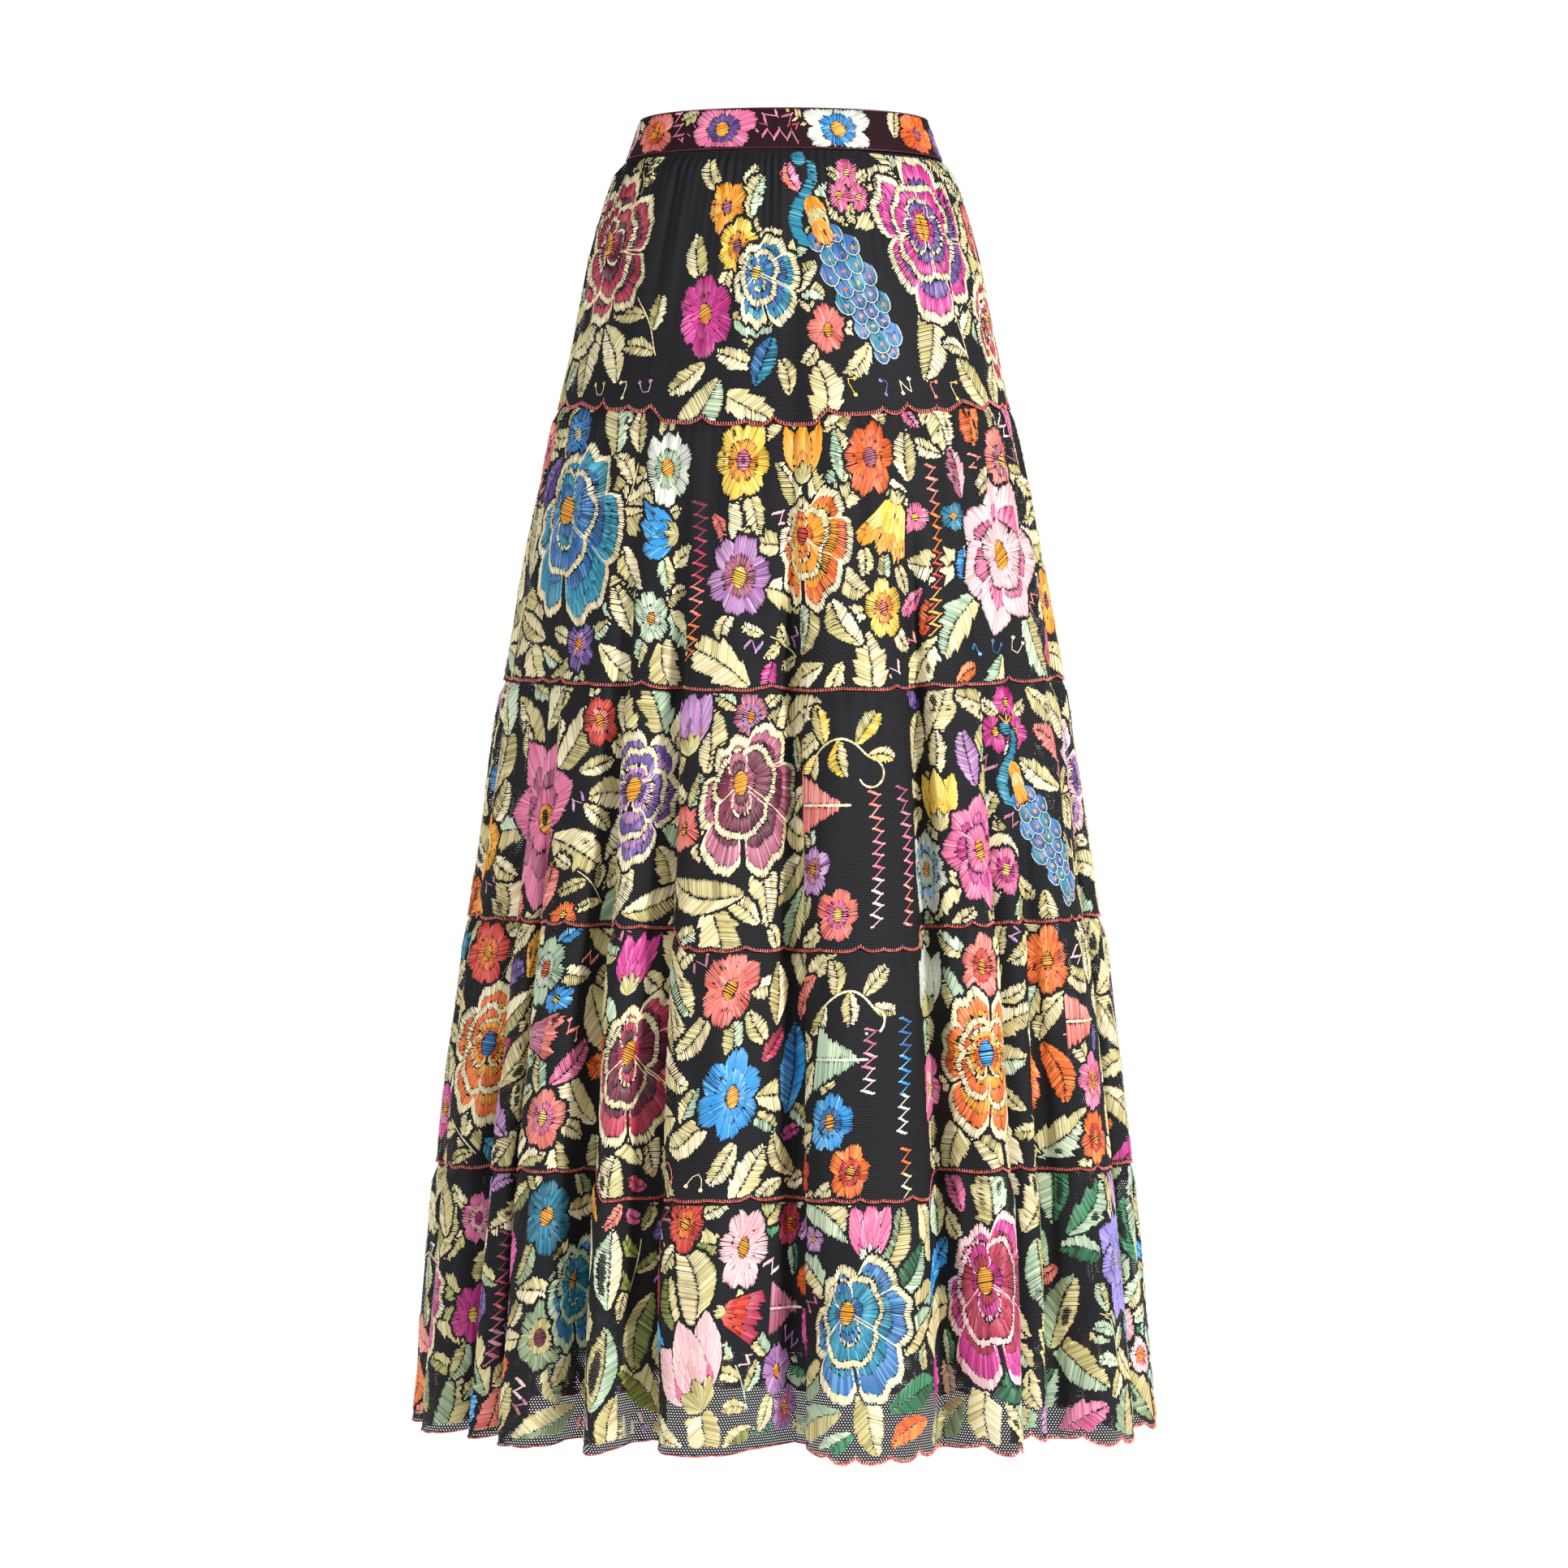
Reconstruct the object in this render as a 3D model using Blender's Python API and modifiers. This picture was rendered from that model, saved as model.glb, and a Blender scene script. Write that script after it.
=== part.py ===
"""Embroidered maxi skirt: five gathered tiers of net on a waistband, over a slip (metres, +Z up).

The skirt hangs in its worn shape, hollow, with its front towards -Y. The origin is the middle of the
waist opening, half way up the band. Angles run round the skirt from the front's centre towards +X.
"""

import math
from collections import namedtuple

import bmesh
import bpy
from mathutils import Vector

# Cloth and band
NET_WALL = 0.0012
LINING_WALL = 0.0010
ZIP_WALL = 0.0012
BAND_HEIGHT = 0.035
BAND_THICKNESS = 0.0030
BAND_EDGE_ROUND = 0.0007
SEAM_GAP = 0.0004
BAND_BOTTOM = -BAND_HEIGHT / 2

# Lengths down from the waist
HEM = -1.0755
LINING_HEM = -1.003
ZIP_TOP = 0.0145
ZIP_BOTTOM = -0.185
ZIP_WIDTH = 0.024

# Tiers
GATHERS = 35
COLUMNS_PER_GATHER = 4
LAP_ABOVE = 0.003
LAP_BELOW = 0.0085
LAP_INSET = NET_WALL + 0.0006
GATHER_REACH = 0.036
BAND_GATHER_START = 0.0125
BAND_GATHER_REACH = 0.060
SQUARENESS = 0.035
FOLD_RECESS = 0.034
RECESS_TOP = -0.12
CREST_DROP = 0.0055

# Lining
LINING_COLUMNS = 48
LINING_WAVES = 12
LINING_WAVE_DEPTH = 0.007

BAND_COLUMNS = 72

# The skirt's plan at each height: half width, half depth, and how far its middle lies to the back.
Section = namedtuple("Section", "z half_width half_depth back_shift")
SECTIONS = (
    Section(0.0175, 0.1210, 0.0945, 0.000),
    Section(BAND_BOTTOM, 0.1335, 0.1040, 0.001),
    Section(-0.030, 0.1425, 0.1120, 0.002),
    Section(-0.086, 0.1606, 0.1270, 0.005),
    Section(-0.155, 0.1760, 0.1410, 0.009),
    Section(-0.292, 0.2112, 0.1700, 0.010),
    Section(-0.429, 0.2370, 0.1940, 0.009),
    Section(-0.634, 0.2672, 0.2250, 0.008),
    Section(-0.8055, 0.2897, 0.2455, 0.008),
    Section(-0.977, 0.3052, 0.2600, 0.008),
    Section(HEM, 0.3138, 0.2670, 0.008),
)

# Seams at the front and at the sides, and the front's middle stretch that hangs lower there.
Seam = namedtuple("Seam", "front side sag sag_from sag_to scallop gather")
SEAMS = (
    Seam(-0.2371, -0.2177, 0.0000, -20, 25, 0.0050, 0.0012),
    Seam(-0.4610, -0.4492, 0.0010, -20, 25, 0.0045, 0.0026),
    Seam(-0.6550, -0.6477, 0.0170, -18, 26, 0.0050, 0.0030),
    Seam(-0.8500, -0.8568, 0.0225, -30, 27, 0.0050, 0.0032),
    Seam(HEM, HEM, 0.0000, -30, 27, 0.0050, 0.0032),
)
SAG_RUN = 6

# Folds of the worn cloth: where they lie, how deep they are at the hem and where they begin.
Fold = namedtuple("Fold", "angle half_angle depth top fullness lean")
FOLDS = (
    Fold(-71.5, 10.0, 0.034, -0.30, 3, 0.0),
    Fold(-56.5, 5.0, 0.026, -0.58, 2, 0.0),
    Fold(-43.0, 9.5, 0.033, -0.34, 4, 0.2),
    Fold(-28.5, 5.2, 0.040, -0.40, 2, 0.0),
    Fold(-10.0, 10.5, 0.034, -0.26, 4, 0.4),
    Fold(16.0, 13.5, 0.036, -0.05, 4, 0.4),
    Fold(36.0, 6.5, 0.031, -0.36, 2, 0.0),
    Fold(67.0, 13.5, 0.034, -0.28, 4, 0.4),
    Fold(90.0, 10.0, 0.034, -0.28, 4, 0.0),
    Fold(110.0, 6.0, 0.028, -0.50, 2, 0.0),
    Fold(126.0, 9.0, 0.034, -0.34, 4, -0.3),
    Fold(143.0, 6.0, 0.036, -0.45, 2, 0.0),
    Fold(161.0, 10.5, 0.035, -0.20, 4, 0.3),
    Fold(182.0, 8.0, 0.033, -0.30, 3, 0.0),
    Fold(201.0, 9.5, 0.036, -0.12, 4, -0.3),
    Fold(218.0, 6.0, 0.033, -0.48, 2, 0.0),
    Fold(234.0, 9.0, 0.033, -0.36, 4, 0.3),
    Fold(251.0, 6.0, 0.028, -0.55, 2, 0.0),
    Fold(270.0, 9.0, 0.034, -0.28, 4, 0.0),
)

# The band slants outwards, and its edges are square to its slant.
BAND_SLANT = (SECTIONS[1].half_width - SECTIONS[0].half_width) / BAND_HEIGHT
BAND_INNER = BAND_THICKNESS * math.hypot(1.0, BAND_SLANT)
LINING_TOP_INSET = 0.0020

# How far the slip hangs inside the skirt's outline.
Ease = namedtuple("Ease", "z inset")
LINING_EASE = (
    Ease(BAND_BOTTOM - SEAM_GAP - LINING_TOP_INSET * BAND_SLANT, LINING_TOP_INSET),
    Ease(-0.030, 0.0060),
    Ease(-0.086, 0.0105),
    Ease(-0.240, 0.0190),
    Ease(-0.480, 0.0370),
    Ease(-0.740, 0.0500),
    Ease(LINING_HEM, 0.0560),
)

# The slip's three lengths of cloth, each a front and a back, and the heights of their points.
LINING_CUTS = {
    "yoke": (LINING_EASE[0].z, -0.030, -0.086, -0.160, -0.225, -0.290 + SEAM_GAP / 2),
    "middle": (-0.290 - SEAM_GAP / 2, -0.400, -0.510, -0.620 + SEAM_GAP / 2),
    "lower": (-0.620 - SEAM_GAP / 2, -0.745, -0.870, LINING_HEM),
}

Finish = namedtuple("Finish", "colour roughness")
FINISHES = {
    "waistband": Finish((0.120, 0.012, 0.028), 0.62),
    "tier": Finish((0.012, 0.011, 0.013), 0.70),
    "lining": Finish((0.006, 0.006, 0.007), 0.48),
    "zip": Finish((0.008, 0.008, 0.009), 0.60),
}
TIER_TINTS = (
    (0.42, 0.20, 0.26),
    (0.16, 0.26, 0.42),
    (0.40, 0.14, 0.30),
    (0.55, 0.24, 0.10),
    (0.20, 0.34, 0.24),
)


def clear_scene():
    for item in list(bpy.data.objects):
        bpy.data.objects.remove(item, do_unlink=True)


def clamp(value):
    return min(max(value, 0.0), 1.0)


def eased(value):
    """0 to 1 with a level start and end."""
    t = clamp(value)
    return t * t * (3.0 - 2.0 * t)


def read_table(rows, column, z):
    """A column's value at height z, on a smooth curve through the rows, which run downwards."""
    heights = [row.z for row in rows]
    values = [getattr(row, column) for row in rows]
    if z >= heights[0]:
        return values[0]
    if z <= heights[-1]:
        return values[-1]
    i = next(k for k in range(len(rows) - 1) if heights[k + 1] <= z)
    before = max(i - 1, 0)
    after = min(i + 2, len(rows) - 1)
    step = heights[i + 1] - heights[i]
    t = (z - heights[i]) / step
    slope_in = (values[i + 1] - values[before]) / (heights[i + 1] - heights[before]) * step
    slope_out = (values[after] - values[i]) / (heights[after] - heights[i]) * step
    return (
        values[i] * (1 + 2 * t) * (1 - t) ** 2
        + slope_in * t * (1 - t) ** 2
        + values[i + 1] * t * t * (3 - 2 * t)
        + slope_out * t * t * (t - 1)
    )


def wrapped(angle):
    """The angle between -pi and pi."""
    return (angle + math.pi) % (2 * math.pi) - math.pi


def plan_point(angle, z):
    """The unfolded skirt's point at this height, and its outward direction in plan."""
    half_width = read_table(SECTIONS, "half_width", z)
    half_depth = read_table(SECTIONS, "half_depth", z)
    s, c = math.sin(angle), math.cos(angle)
    point = Vector((
        half_width * s * (1 + SQUARENESS * c * c),
        read_table(SECTIONS, "back_shift", z) - half_depth * c * (1 + SQUARENESS * s * s),
        z,
    ))
    along = Vector((
        half_width * c * (1 + SQUARENESS * (c * c - 2 * s * s)),
        half_depth * s * (1 + SQUARENESS * (s * s - 2 * c * c)),
        0.0,
    ))
    return point, Vector((along.y, -along.x, 0.0)).normalized()


def fold_height(angle, z):
    """How far the folds stand out of the outline here: 0 on a crest, less between folds."""
    height = -FOLD_RECESS * clamp((RECESS_TOP - z) / (RECESS_TOP - HEM))
    for fold in FOLDS:
        u = wrapped(angle - math.radians(fold.angle)) / math.radians(fold.half_angle)
        if abs(u) < 1.0:
            u += fold.lean * (1.0 - u * u)
            grown = clamp((fold.top - z) / (fold.top - HEM))
            height += fold.depth * grown * (1.0 - abs(u) ** fold.fullness) ** 2
    return height


def folded_point(angle, z):
    point, outward = plan_point(angle, z)
    return point + outward * fold_height(angle, z)


def seam_height(seam, angle):
    """A seam's height: higher at the sides, and lower across the front's middle stretch."""
    degrees = math.degrees(wrapped(angle))
    sag = eased((degrees - seam.sag_from) / SAG_RUN + 0.5) * eased((seam.sag_to - degrees) / SAG_RUN + 0.5)
    level = seam.front + (seam.side - seam.front) * math.sin(angle) ** 2
    if seam.side == HEM:
        level -= CREST_DROP * (fold_height(angle, HEM) / FOLD_RECESS + 0.5)
    return level - seam.sag * sag


def column_angle(column):
    """Columns are unevenly spaced, and two of them lie exactly on the side seams."""
    angle = 2 * math.pi * column / (GATHERS * COLUMNS_PER_GATHER)
    return angle + 0.009 * math.sin(6 * angle) + 0.005 * math.sin(14 * angle)


def skirt_point(column, nudge, z, inset):
    """A column's point at height z, moved this far inwards between the walls beside it."""
    point = folded_point(column_angle(column) + nudge, z)
    before = (point - folded_point(column_angle(column - 1), z)).normalized()
    after = (folded_point(column_angle(column + 1), z) - point).normalized()
    along = before + after
    outward = Vector((along.y, -along.x, 0.0)).normalized()
    return point - outward * inset


def gather_wave(column, tier):
    """Crest and hollow of the gathers, uneven from one to the next."""
    gather = column / COLUMNS_PER_GATHER
    size = 0.75 + 0.25 * math.sin(1.9 * math.floor(gather) + 2.3 * tier)
    return size * math.cos(2 * math.pi * gather)


def scallop_drop(column):
    """0 at a scallop's cusp and 1 at its lowest point."""
    return math.sin(math.pi * column / COLUMNS_PER_GATHER) ** 2


def side_angles(columns, half_depth, front):
    """The column angles of a front or back, whose ends stop half a gap short of the side seams."""
    quarter = columns // 4
    start = -quarter if front else quarter
    steps = range(start, start + 2 * quarter + 1)
    short = SEAM_GAP / 2 / half_depth
    nudges = {steps[0]: short, steps[-1]: -short}
    return [(step, nudges.get(step, 0.0)) for step in steps]


def tier_rows(tier, front):
    """Rows of points down a tier's front or back, from its gathered top to its scalloped edge."""
    above = SEAMS[tier - 2] if tier > 1 else None
    below = SEAMS[tier - 1]
    half_depth = read_table(SECTIONS, "half_depth", below.front)
    columns = []
    for column, nudge in side_angles(GATHERS * COLUMNS_PER_GATHER, half_depth, front):
        angle = column_angle(column) + nudge
        gather = below.gather * gather_wave(column, tier)
        edge = seam_height(below, angle) - below.scallop * scallop_drop(column)
        if above:
            top = seam_height(above, angle)
            stops = (
                (top + LAP_ABOVE, LAP_INSET),
                (top - LAP_BELOW, LAP_INSET),
                (top - GATHER_REACH, -gather),
                (edge, 0.0),
            )
        else:
            stops = (
                (BAND_BOTTOM - SEAM_GAP * (1 + BAND_SLANT), SEAM_GAP),
                (BAND_BOTTOM - BAND_GATHER_START, -gather),
                (BAND_BOTTOM - BAND_GATHER_REACH, -gather / 2),
                (edge, 0.0),
            )
        columns.append([skirt_point(column, nudge, z, inset) for z, inset in stops])
    return [list(row) for row in zip(*columns)]


def lining_point(angle, z):
    """The slip hangs inside the outline, in a few soft waves that grow towards its hem."""
    point, outward = plan_point(angle, z)
    grown = clamp(z / LINING_HEM) ** 1.5
    wave = LINING_WAVE_DEPTH * grown * math.sin(LINING_WAVES * angle + 0.7 * math.sin(3 * angle))
    return point - outward * (read_table(LINING_EASE, "inset", z) - wave)


def lining_rows(heights, front):
    half_depth = read_table(SECTIONS, "half_depth", BAND_BOTTOM)
    turns = [
        2 * math.pi * column / LINING_COLUMNS + nudge
        for column, nudge in side_angles(LINING_COLUMNS, half_depth, front)
    ]
    return [[lining_point(turn, z) for turn in turns] for z in heights]


def band_rows():
    """The band's outer face, once round from the opening at the left side seam."""
    short = SEAM_GAP / 2 / read_table(SECTIONS, "half_depth", 0.0)
    first = math.pi / 2 + short
    whole = 2 * math.pi - 2 * short
    turns = [first + whole * step / BAND_COLUMNS for step in range(BAND_COLUMNS + 1)]
    return [[plan_point(turn, z)[0] for turn in turns] for z in (-BAND_BOTTOM, BAND_BOTTOM)]


def zip_rows():
    """A strip inside the left side seam, against the band and then against the slip."""
    rows = []
    for z in (ZIP_TOP, BAND_BOTTOM, -0.030, -0.086, -0.160, ZIP_BOTTOM):
        half_depth = read_table(SECTIONS, "half_depth", z)
        row = []
        for step in range(5):
            angle = math.pi / 2 + ZIP_WIDTH * (step / 4 - 0.5) / half_depth
            if z >= BAND_BOTTOM:
                point, outward = plan_point(angle, z)
                row.append(point - outward * (BAND_INNER + SEAM_GAP))
            else:
                outward = plan_point(angle, z)[1]
                row.append(lining_point(angle, z) - outward * (LINING_WALL + 2 * SEAM_GAP))
        rows.append(row)
    return rows


def make_material(name, colour, roughness):
    material = bpy.data.materials.new(name)
    material.use_nodes = True
    shader = material.node_tree.nodes["Principled BSDF"]
    shader.inputs["Base Color"].default_value = (*colour, 1.0)
    shader.inputs["Roughness"].default_value = roughness
    shader.inputs["Metallic"].default_value = 0.0
    return material


def cloth_object(name, rows, wall, finish, collection):
    """Lofts a sheet through rows of points and thickens it inwards."""
    mesh = bpy.data.meshes.new(name)
    sheet = bmesh.new()
    grid = [[sheet.verts.new(point) for point in row] for row in rows]
    for upper, lower in zip(grid, grid[1:]):
        for i in range(len(upper) - 1):
            sheet.faces.new((upper[i], lower[i], lower[i + 1], upper[i + 1]))
    sheet.to_mesh(mesh)
    sheet.free()
    mesh.shade_smooth()
    mesh.materials.append(make_material(f"{name}_cloth", finish.colour, finish.roughness))
    item = bpy.data.objects.new(name, mesh)
    collection.objects.link(item)
    thicken = item.modifiers.new("wall", "SOLIDIFY")
    thicken.thickness = wall
    thicken.offset = -1.0
    return item


def build_waistband(collection):
    band = cloth_object("waistband", band_rows(), BAND_THICKNESS, FINISHES["waistband"], collection)
    rounding = band.modifiers.new("edges", "BEVEL")
    rounding.width = BAND_EDGE_ROUND
    rounding.segments = 1
    rounding.limit_method = "ANGLE"
    rounding.angle_limit = math.radians(60)


def build_tiers(collection):
    base = FINISHES["tier"]
    for tier, tint in enumerate(TIER_TINTS, start=1):
        colour = tuple(0.5 * (dark + bright) for dark, bright in zip(base.colour, tint))
        finish = Finish(colour, base.roughness)
        for side in ("front", "back"):
            rows = tier_rows(tier, side == "front")
            cloth_object(f"tier_{tier}_{side}", rows, NET_WALL, finish, collection)


def build_lining(collection):
    for cut, heights in LINING_CUTS.items():
        for side in ("front", "back"):
            rows = lining_rows(heights, side == "front")
            cloth_object(f"lining_{cut}_{side}", rows, LINING_WALL, FINISHES["lining"], collection)


def build_zip(collection):
    cloth_object("side_zip", zip_rows(), ZIP_WALL, FINISHES["zip"], collection)


def main():
    clear_scene()
    skirt = bpy.data.collections.new("embroidered_maxi_skirt")
    bpy.context.scene.collection.children.link(skirt)
    build_waistband(skirt)
    build_tiers(skirt)
    build_lining(skirt)
    build_zip(skirt)


main()
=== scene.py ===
"""Dresses the embroidered maxi skirt: gathered net tiers, floss embroidery, edging, band and slip.

Metres, +Z up, front towards -Y. Angles run round the skirt from the front's centre towards +X, in
degrees in the tables. Sizes of stitches and motifs are in millimetres, as an embroiderer gives them.
"""

import logging
import math
from dataclasses import dataclass, field
from enum import Enum
from typing import Iterator, NamedTuple, Sequence

import bpy
import numpy as np
from bpy.types import Material, Node, NodeSocket, NodeTree, Object
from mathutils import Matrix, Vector


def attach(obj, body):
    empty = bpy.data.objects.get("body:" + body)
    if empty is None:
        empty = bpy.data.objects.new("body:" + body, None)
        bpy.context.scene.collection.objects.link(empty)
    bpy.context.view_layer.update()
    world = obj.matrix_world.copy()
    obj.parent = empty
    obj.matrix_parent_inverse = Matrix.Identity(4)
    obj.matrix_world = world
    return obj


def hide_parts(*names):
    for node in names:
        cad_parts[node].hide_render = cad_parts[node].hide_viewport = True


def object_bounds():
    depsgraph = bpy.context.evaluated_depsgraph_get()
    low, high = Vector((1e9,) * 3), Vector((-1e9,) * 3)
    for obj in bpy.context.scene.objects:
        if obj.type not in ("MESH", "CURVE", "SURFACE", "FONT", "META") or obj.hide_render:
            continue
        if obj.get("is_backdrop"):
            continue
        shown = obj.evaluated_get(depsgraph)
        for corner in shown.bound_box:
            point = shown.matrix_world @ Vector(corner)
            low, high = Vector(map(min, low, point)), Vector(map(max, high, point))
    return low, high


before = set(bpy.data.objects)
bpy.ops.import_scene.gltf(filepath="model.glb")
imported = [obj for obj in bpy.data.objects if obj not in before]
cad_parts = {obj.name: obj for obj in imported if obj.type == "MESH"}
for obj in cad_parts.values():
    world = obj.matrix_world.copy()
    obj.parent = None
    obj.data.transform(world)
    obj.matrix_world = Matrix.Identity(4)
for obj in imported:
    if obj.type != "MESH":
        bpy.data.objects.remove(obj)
CAD_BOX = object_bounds()

Array = np.ndarray
Place = tuple[float, float]
LOG = logging.getLogger("maxi_skirt")
BODY = "root"
MM = 0.001

# The worn form in metres, with heights from the band's middle. Its outline and folds are the solids'
# own, its seams and scallops are drawn a little finer, and narrow creases are added.
BAND_HEIGHT = 0.035
BAND_THICKNESS = 0.0030
BAND_BOTTOM = -BAND_HEIGHT / 2
SEAM_GAP = 0.0004
HEM = -1.0755
LINING_HEM = -1.003
SQUARENESS = 0.035
FOLD_RECESS = 0.034
RECESS_TOP = -0.12
CREST_DROP = 0.0055
SAG_RUN = 3.5
TUCK_STEEP = 0.75
TUCK_SOFT = 2.9
LINING_TUCK_SHARE = 0.62
LINING_TUCK_WIDER = 2.4
TUCK_GROWTH = 0.35
LINING_WAVES = 12
LINING_WAVE_DEPTH = 0.007

# Gathers and scallops, the tiers' laps, and the open net below the slip
GATHERS = 35
STEPS_PER_GATHER = 24
SCALLOPS_PER_GATHER = {1: 1, 2: 1, 3: 2, 4: 2, 5: 2}
LAP_INSET_MM = 1.8
LAP_ABOVE_MM = 3.0
LAP_BELOW_MM = 8.5
OPEN_NET_MM = 128.0

# Where the cloth is measured for its flat size and its edge, and what its gathers add
FLAT_AT_MM = 200.0
EDGE_AT_MM = 205.0
GATHER_ALLOWANCE = 1.04

# Stitches: where each is tested for cover, the shortest that are left, satin, knots and strands
STATIONS = np.linspace(0.0, 1.0, 9)
SHORTEST_WORKED_MM = 1.3
SHORTEST_KEPT_MM = 1.6
SHORTEST_LAID_MM = 1.8
LONGEST_SATIN_MM = 16.0
SATIN_OVERLAP_MM = 1.8
KNOT_REACH = (1.6, 0.5)
TONES = 3
GRAIN_SHIFT_MM = 3.7

# The blur of a drawn net thread's edge, the wave texture's scale for one rib, and the lights' aim
THREAD_BLUR = 0.03
WAVE_SCALE = 0.314
LIT_POINT = (0, 0, -0.55)


class Section(NamedTuple):
    """The skirt's plan at one height."""

    z: float
    half_width: float
    half_depth: float
    back_shift: float


class Seam(NamedTuple):
    """A tier's lower edge: its height at the front and side, its sag, its scallops and its gathers."""

    front: float
    side: float
    sag: float
    sag_from: float
    sag_to: float
    scallop: float
    gather: float


class Fold(NamedTuple):
    """One fold of the worn cloth, deepest at the hem."""

    angle: float
    half_angle: float
    depth: float
    top: float
    fullness: float
    lean: float


class Tuck(NamedTuple):
    """A narrow crease between two folds, steep on one side: +1 for the side towards the wearer's left."""

    angle: float
    top: float
    depth: float
    steep: int


class Ease(NamedTuple):
    """How far the slip hangs inside the skirt's outline at one height."""

    z: float
    inset: float


SECTIONS = (
    Section(0.0175, 0.1210, 0.0945, 0.000),
    Section(BAND_BOTTOM, 0.1335, 0.1040, 0.001),
    Section(-0.030, 0.1425, 0.1120, 0.002),
    Section(-0.086, 0.1606, 0.1270, 0.005),
    Section(-0.155, 0.1760, 0.1410, 0.009),
    Section(-0.292, 0.2112, 0.1700, 0.010),
    Section(-0.429, 0.2370, 0.1940, 0.009),
    Section(-0.634, 0.2672, 0.2250, 0.008),
    Section(-0.8055, 0.2897, 0.2455, 0.008),
    Section(-0.977, 0.3052, 0.2600, 0.008),
    Section(HEM, 0.3138, 0.2670, 0.008),
)
SEAMS = (
    Seam(-0.2331, -0.2177, 0.0075, -31, 8, 0.0090, 0.0012),
    Seam(-0.4610, -0.4492, 0.0010, -20, 25, 0.0055, 0.0026),
    Seam(-0.6550, -0.6477, 0.0170, -18, 26, 0.0060, 0.0030),
    Seam(-0.8500, -0.8568, 0.0225, -30, 27, 0.0050, 0.0032),
    Seam(HEM, HEM, 0.0000, -30, 27, 0.0075, 0.0032),
)
FOLDS = (
    Fold(-71.5, 10.0, 0.034, -0.30, 3, 0.0),
    Fold(-56.5, 5.0, 0.026, -0.58, 2, 0.0),
    Fold(-43.0, 9.5, 0.033, -0.34, 4, 0.2),
    Fold(-28.5, 5.2, 0.040, -0.40, 2, 0.0),
    Fold(-10.0, 10.5, 0.034, -0.26, 4, 0.4),
    Fold(16.0, 13.5, 0.036, -0.05, 4, 0.4),
    Fold(36.0, 6.5, 0.031, -0.36, 2, 0.0),
    Fold(67.0, 13.5, 0.034, -0.28, 4, 0.4),
    Fold(90.0, 10.0, 0.034, -0.28, 4, 0.0),
    Fold(110.0, 6.0, 0.028, -0.50, 2, 0.0),
    Fold(126.0, 9.0, 0.034, -0.34, 4, -0.3),
    Fold(143.0, 6.0, 0.036, -0.45, 2, 0.0),
    Fold(161.0, 10.5, 0.035, -0.20, 4, 0.3),
    Fold(182.0, 8.0, 0.033, -0.30, 3, 0.0),
    Fold(201.0, 9.5, 0.036, -0.12, 4, -0.3),
    Fold(218.0, 6.0, 0.033, -0.48, 2, 0.0),
    Fold(234.0, 9.0, 0.033, -0.36, 4, 0.3),
    Fold(251.0, 6.0, 0.028, -0.55, 2, 0.0),
    Fold(270.0, 9.0, 0.034, -0.28, 4, 0.0),
)
TUCKS = (
    Tuck(-81.0, -0.50, 0.014, 1),
    Tuck(-61.0, -0.44, 0.019, 1),
    Tuck(-52.0, -0.40, 0.018, -1),
    Tuck(-33.2, -0.30, 0.023, 1),
    Tuck(-21.0, -0.24, 0.021, 1),
    Tuck(2.0, -0.20, 0.023, 1),
    Tuck(28.6, -0.26, 0.023, 1),
    Tuck(43.0, -0.34, 0.020, -1),
    Tuck(53.0, -0.50, 0.018, 1),
    Tuck(81.0, -0.36, 0.019, 1),
    Tuck(101.0, -0.40, 0.018, -1),
    Tuck(117.0, -0.44, 0.019, 1),
    Tuck(135.5, -0.36, 0.021, -1),
    Tuck(150.0, -0.34, 0.020, 1),
    Tuck(172.6, -0.26, 0.023, 1),
    Tuck(190.8, -0.24, 0.021, -1),
    Tuck(211.0, -0.30, 0.022, 1),
    Tuck(224.5, -0.34, 0.019, 1),
    Tuck(244.0, -0.42, 0.018, -1),
    Tuck(258.5, -0.46, 0.017, 1),
)
LINING_EASE = (
    Ease(BAND_BOTTOM - 0.0011, 0.0020),
    Ease(-0.030, 0.0060),
    Ease(-0.086, 0.0105),
    Ease(-0.240, 0.0190),
    Ease(-0.480, 0.0370),
    Ease(-0.740, 0.0500),
    Ease(LINING_HEM, 0.0560),
)


class Floss(Enum):
    """Shades of the embroidery floss, each in a dark, a middle and a light strand; the lighter and darker
    strands are partly random strand variation and partly painted sheen.
    """

    CRIMSON = ("8a1734", "b02b4a", "d2566f")
    BURGUNDY = ("4d1026", "6b1a36", "8c3350")
    DUSTY = ("8f3b55", "b05f78", "cf8ea0")
    MAGENTA = ("a3126b", "c72c88", "e264ab")
    PINK = ("c24a7a", "dd7099", "ef9dba")
    BLUSH = ("dca0a6", "efc0c2", "fadcdc")
    SALMON = ("cf5a50", "e47a6c", "f4a094")
    RED = ("a81f17", "cb3323", "e35440")
    ORANGE = ("c94c12", "e96a1e", "f78f3f")
    AMBER = ("d07c0e", "ec9d1f", "f8bc4c")
    YELLOW = ("d4a52a", "efc84c", "fae184")
    CREAM = ("c8b684", "e5d6a8", "f7edca")
    STRAW = ("a8995e", "ccbf82", "e8dcaa")
    MINT = ("8caa8a", "b2c8a8", "d8e4c6")
    WHITE = ("b3bcae", "d2d7c8", "ebe9dc")
    SAGE = ("6f8560", "93a67e", "b6c4a0")
    GREEN = ("12462c", "1f6a40", "3f8f5f")
    OLIVE = ("5f6628", "848b3c", "a8ab5c")
    TEAL = ("0e5f7a", "1f85a2", "52adc4")
    BLUE = ("174f86", "2a6ca8", "5a9acc")
    AZURE = ("1474b4", "2b94d6", "74c0ee")
    SKY = ("6b9fc8", "97c1e0", "c4def0")
    PURPLE = ("40286a", "60448e", "8c74b4")
    MAUVE = ("8a5590", "ae7ab0", "cfa6cf")
    LILAC = ("7a68b8", "9c8cd4", "c0b4ea")


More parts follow.
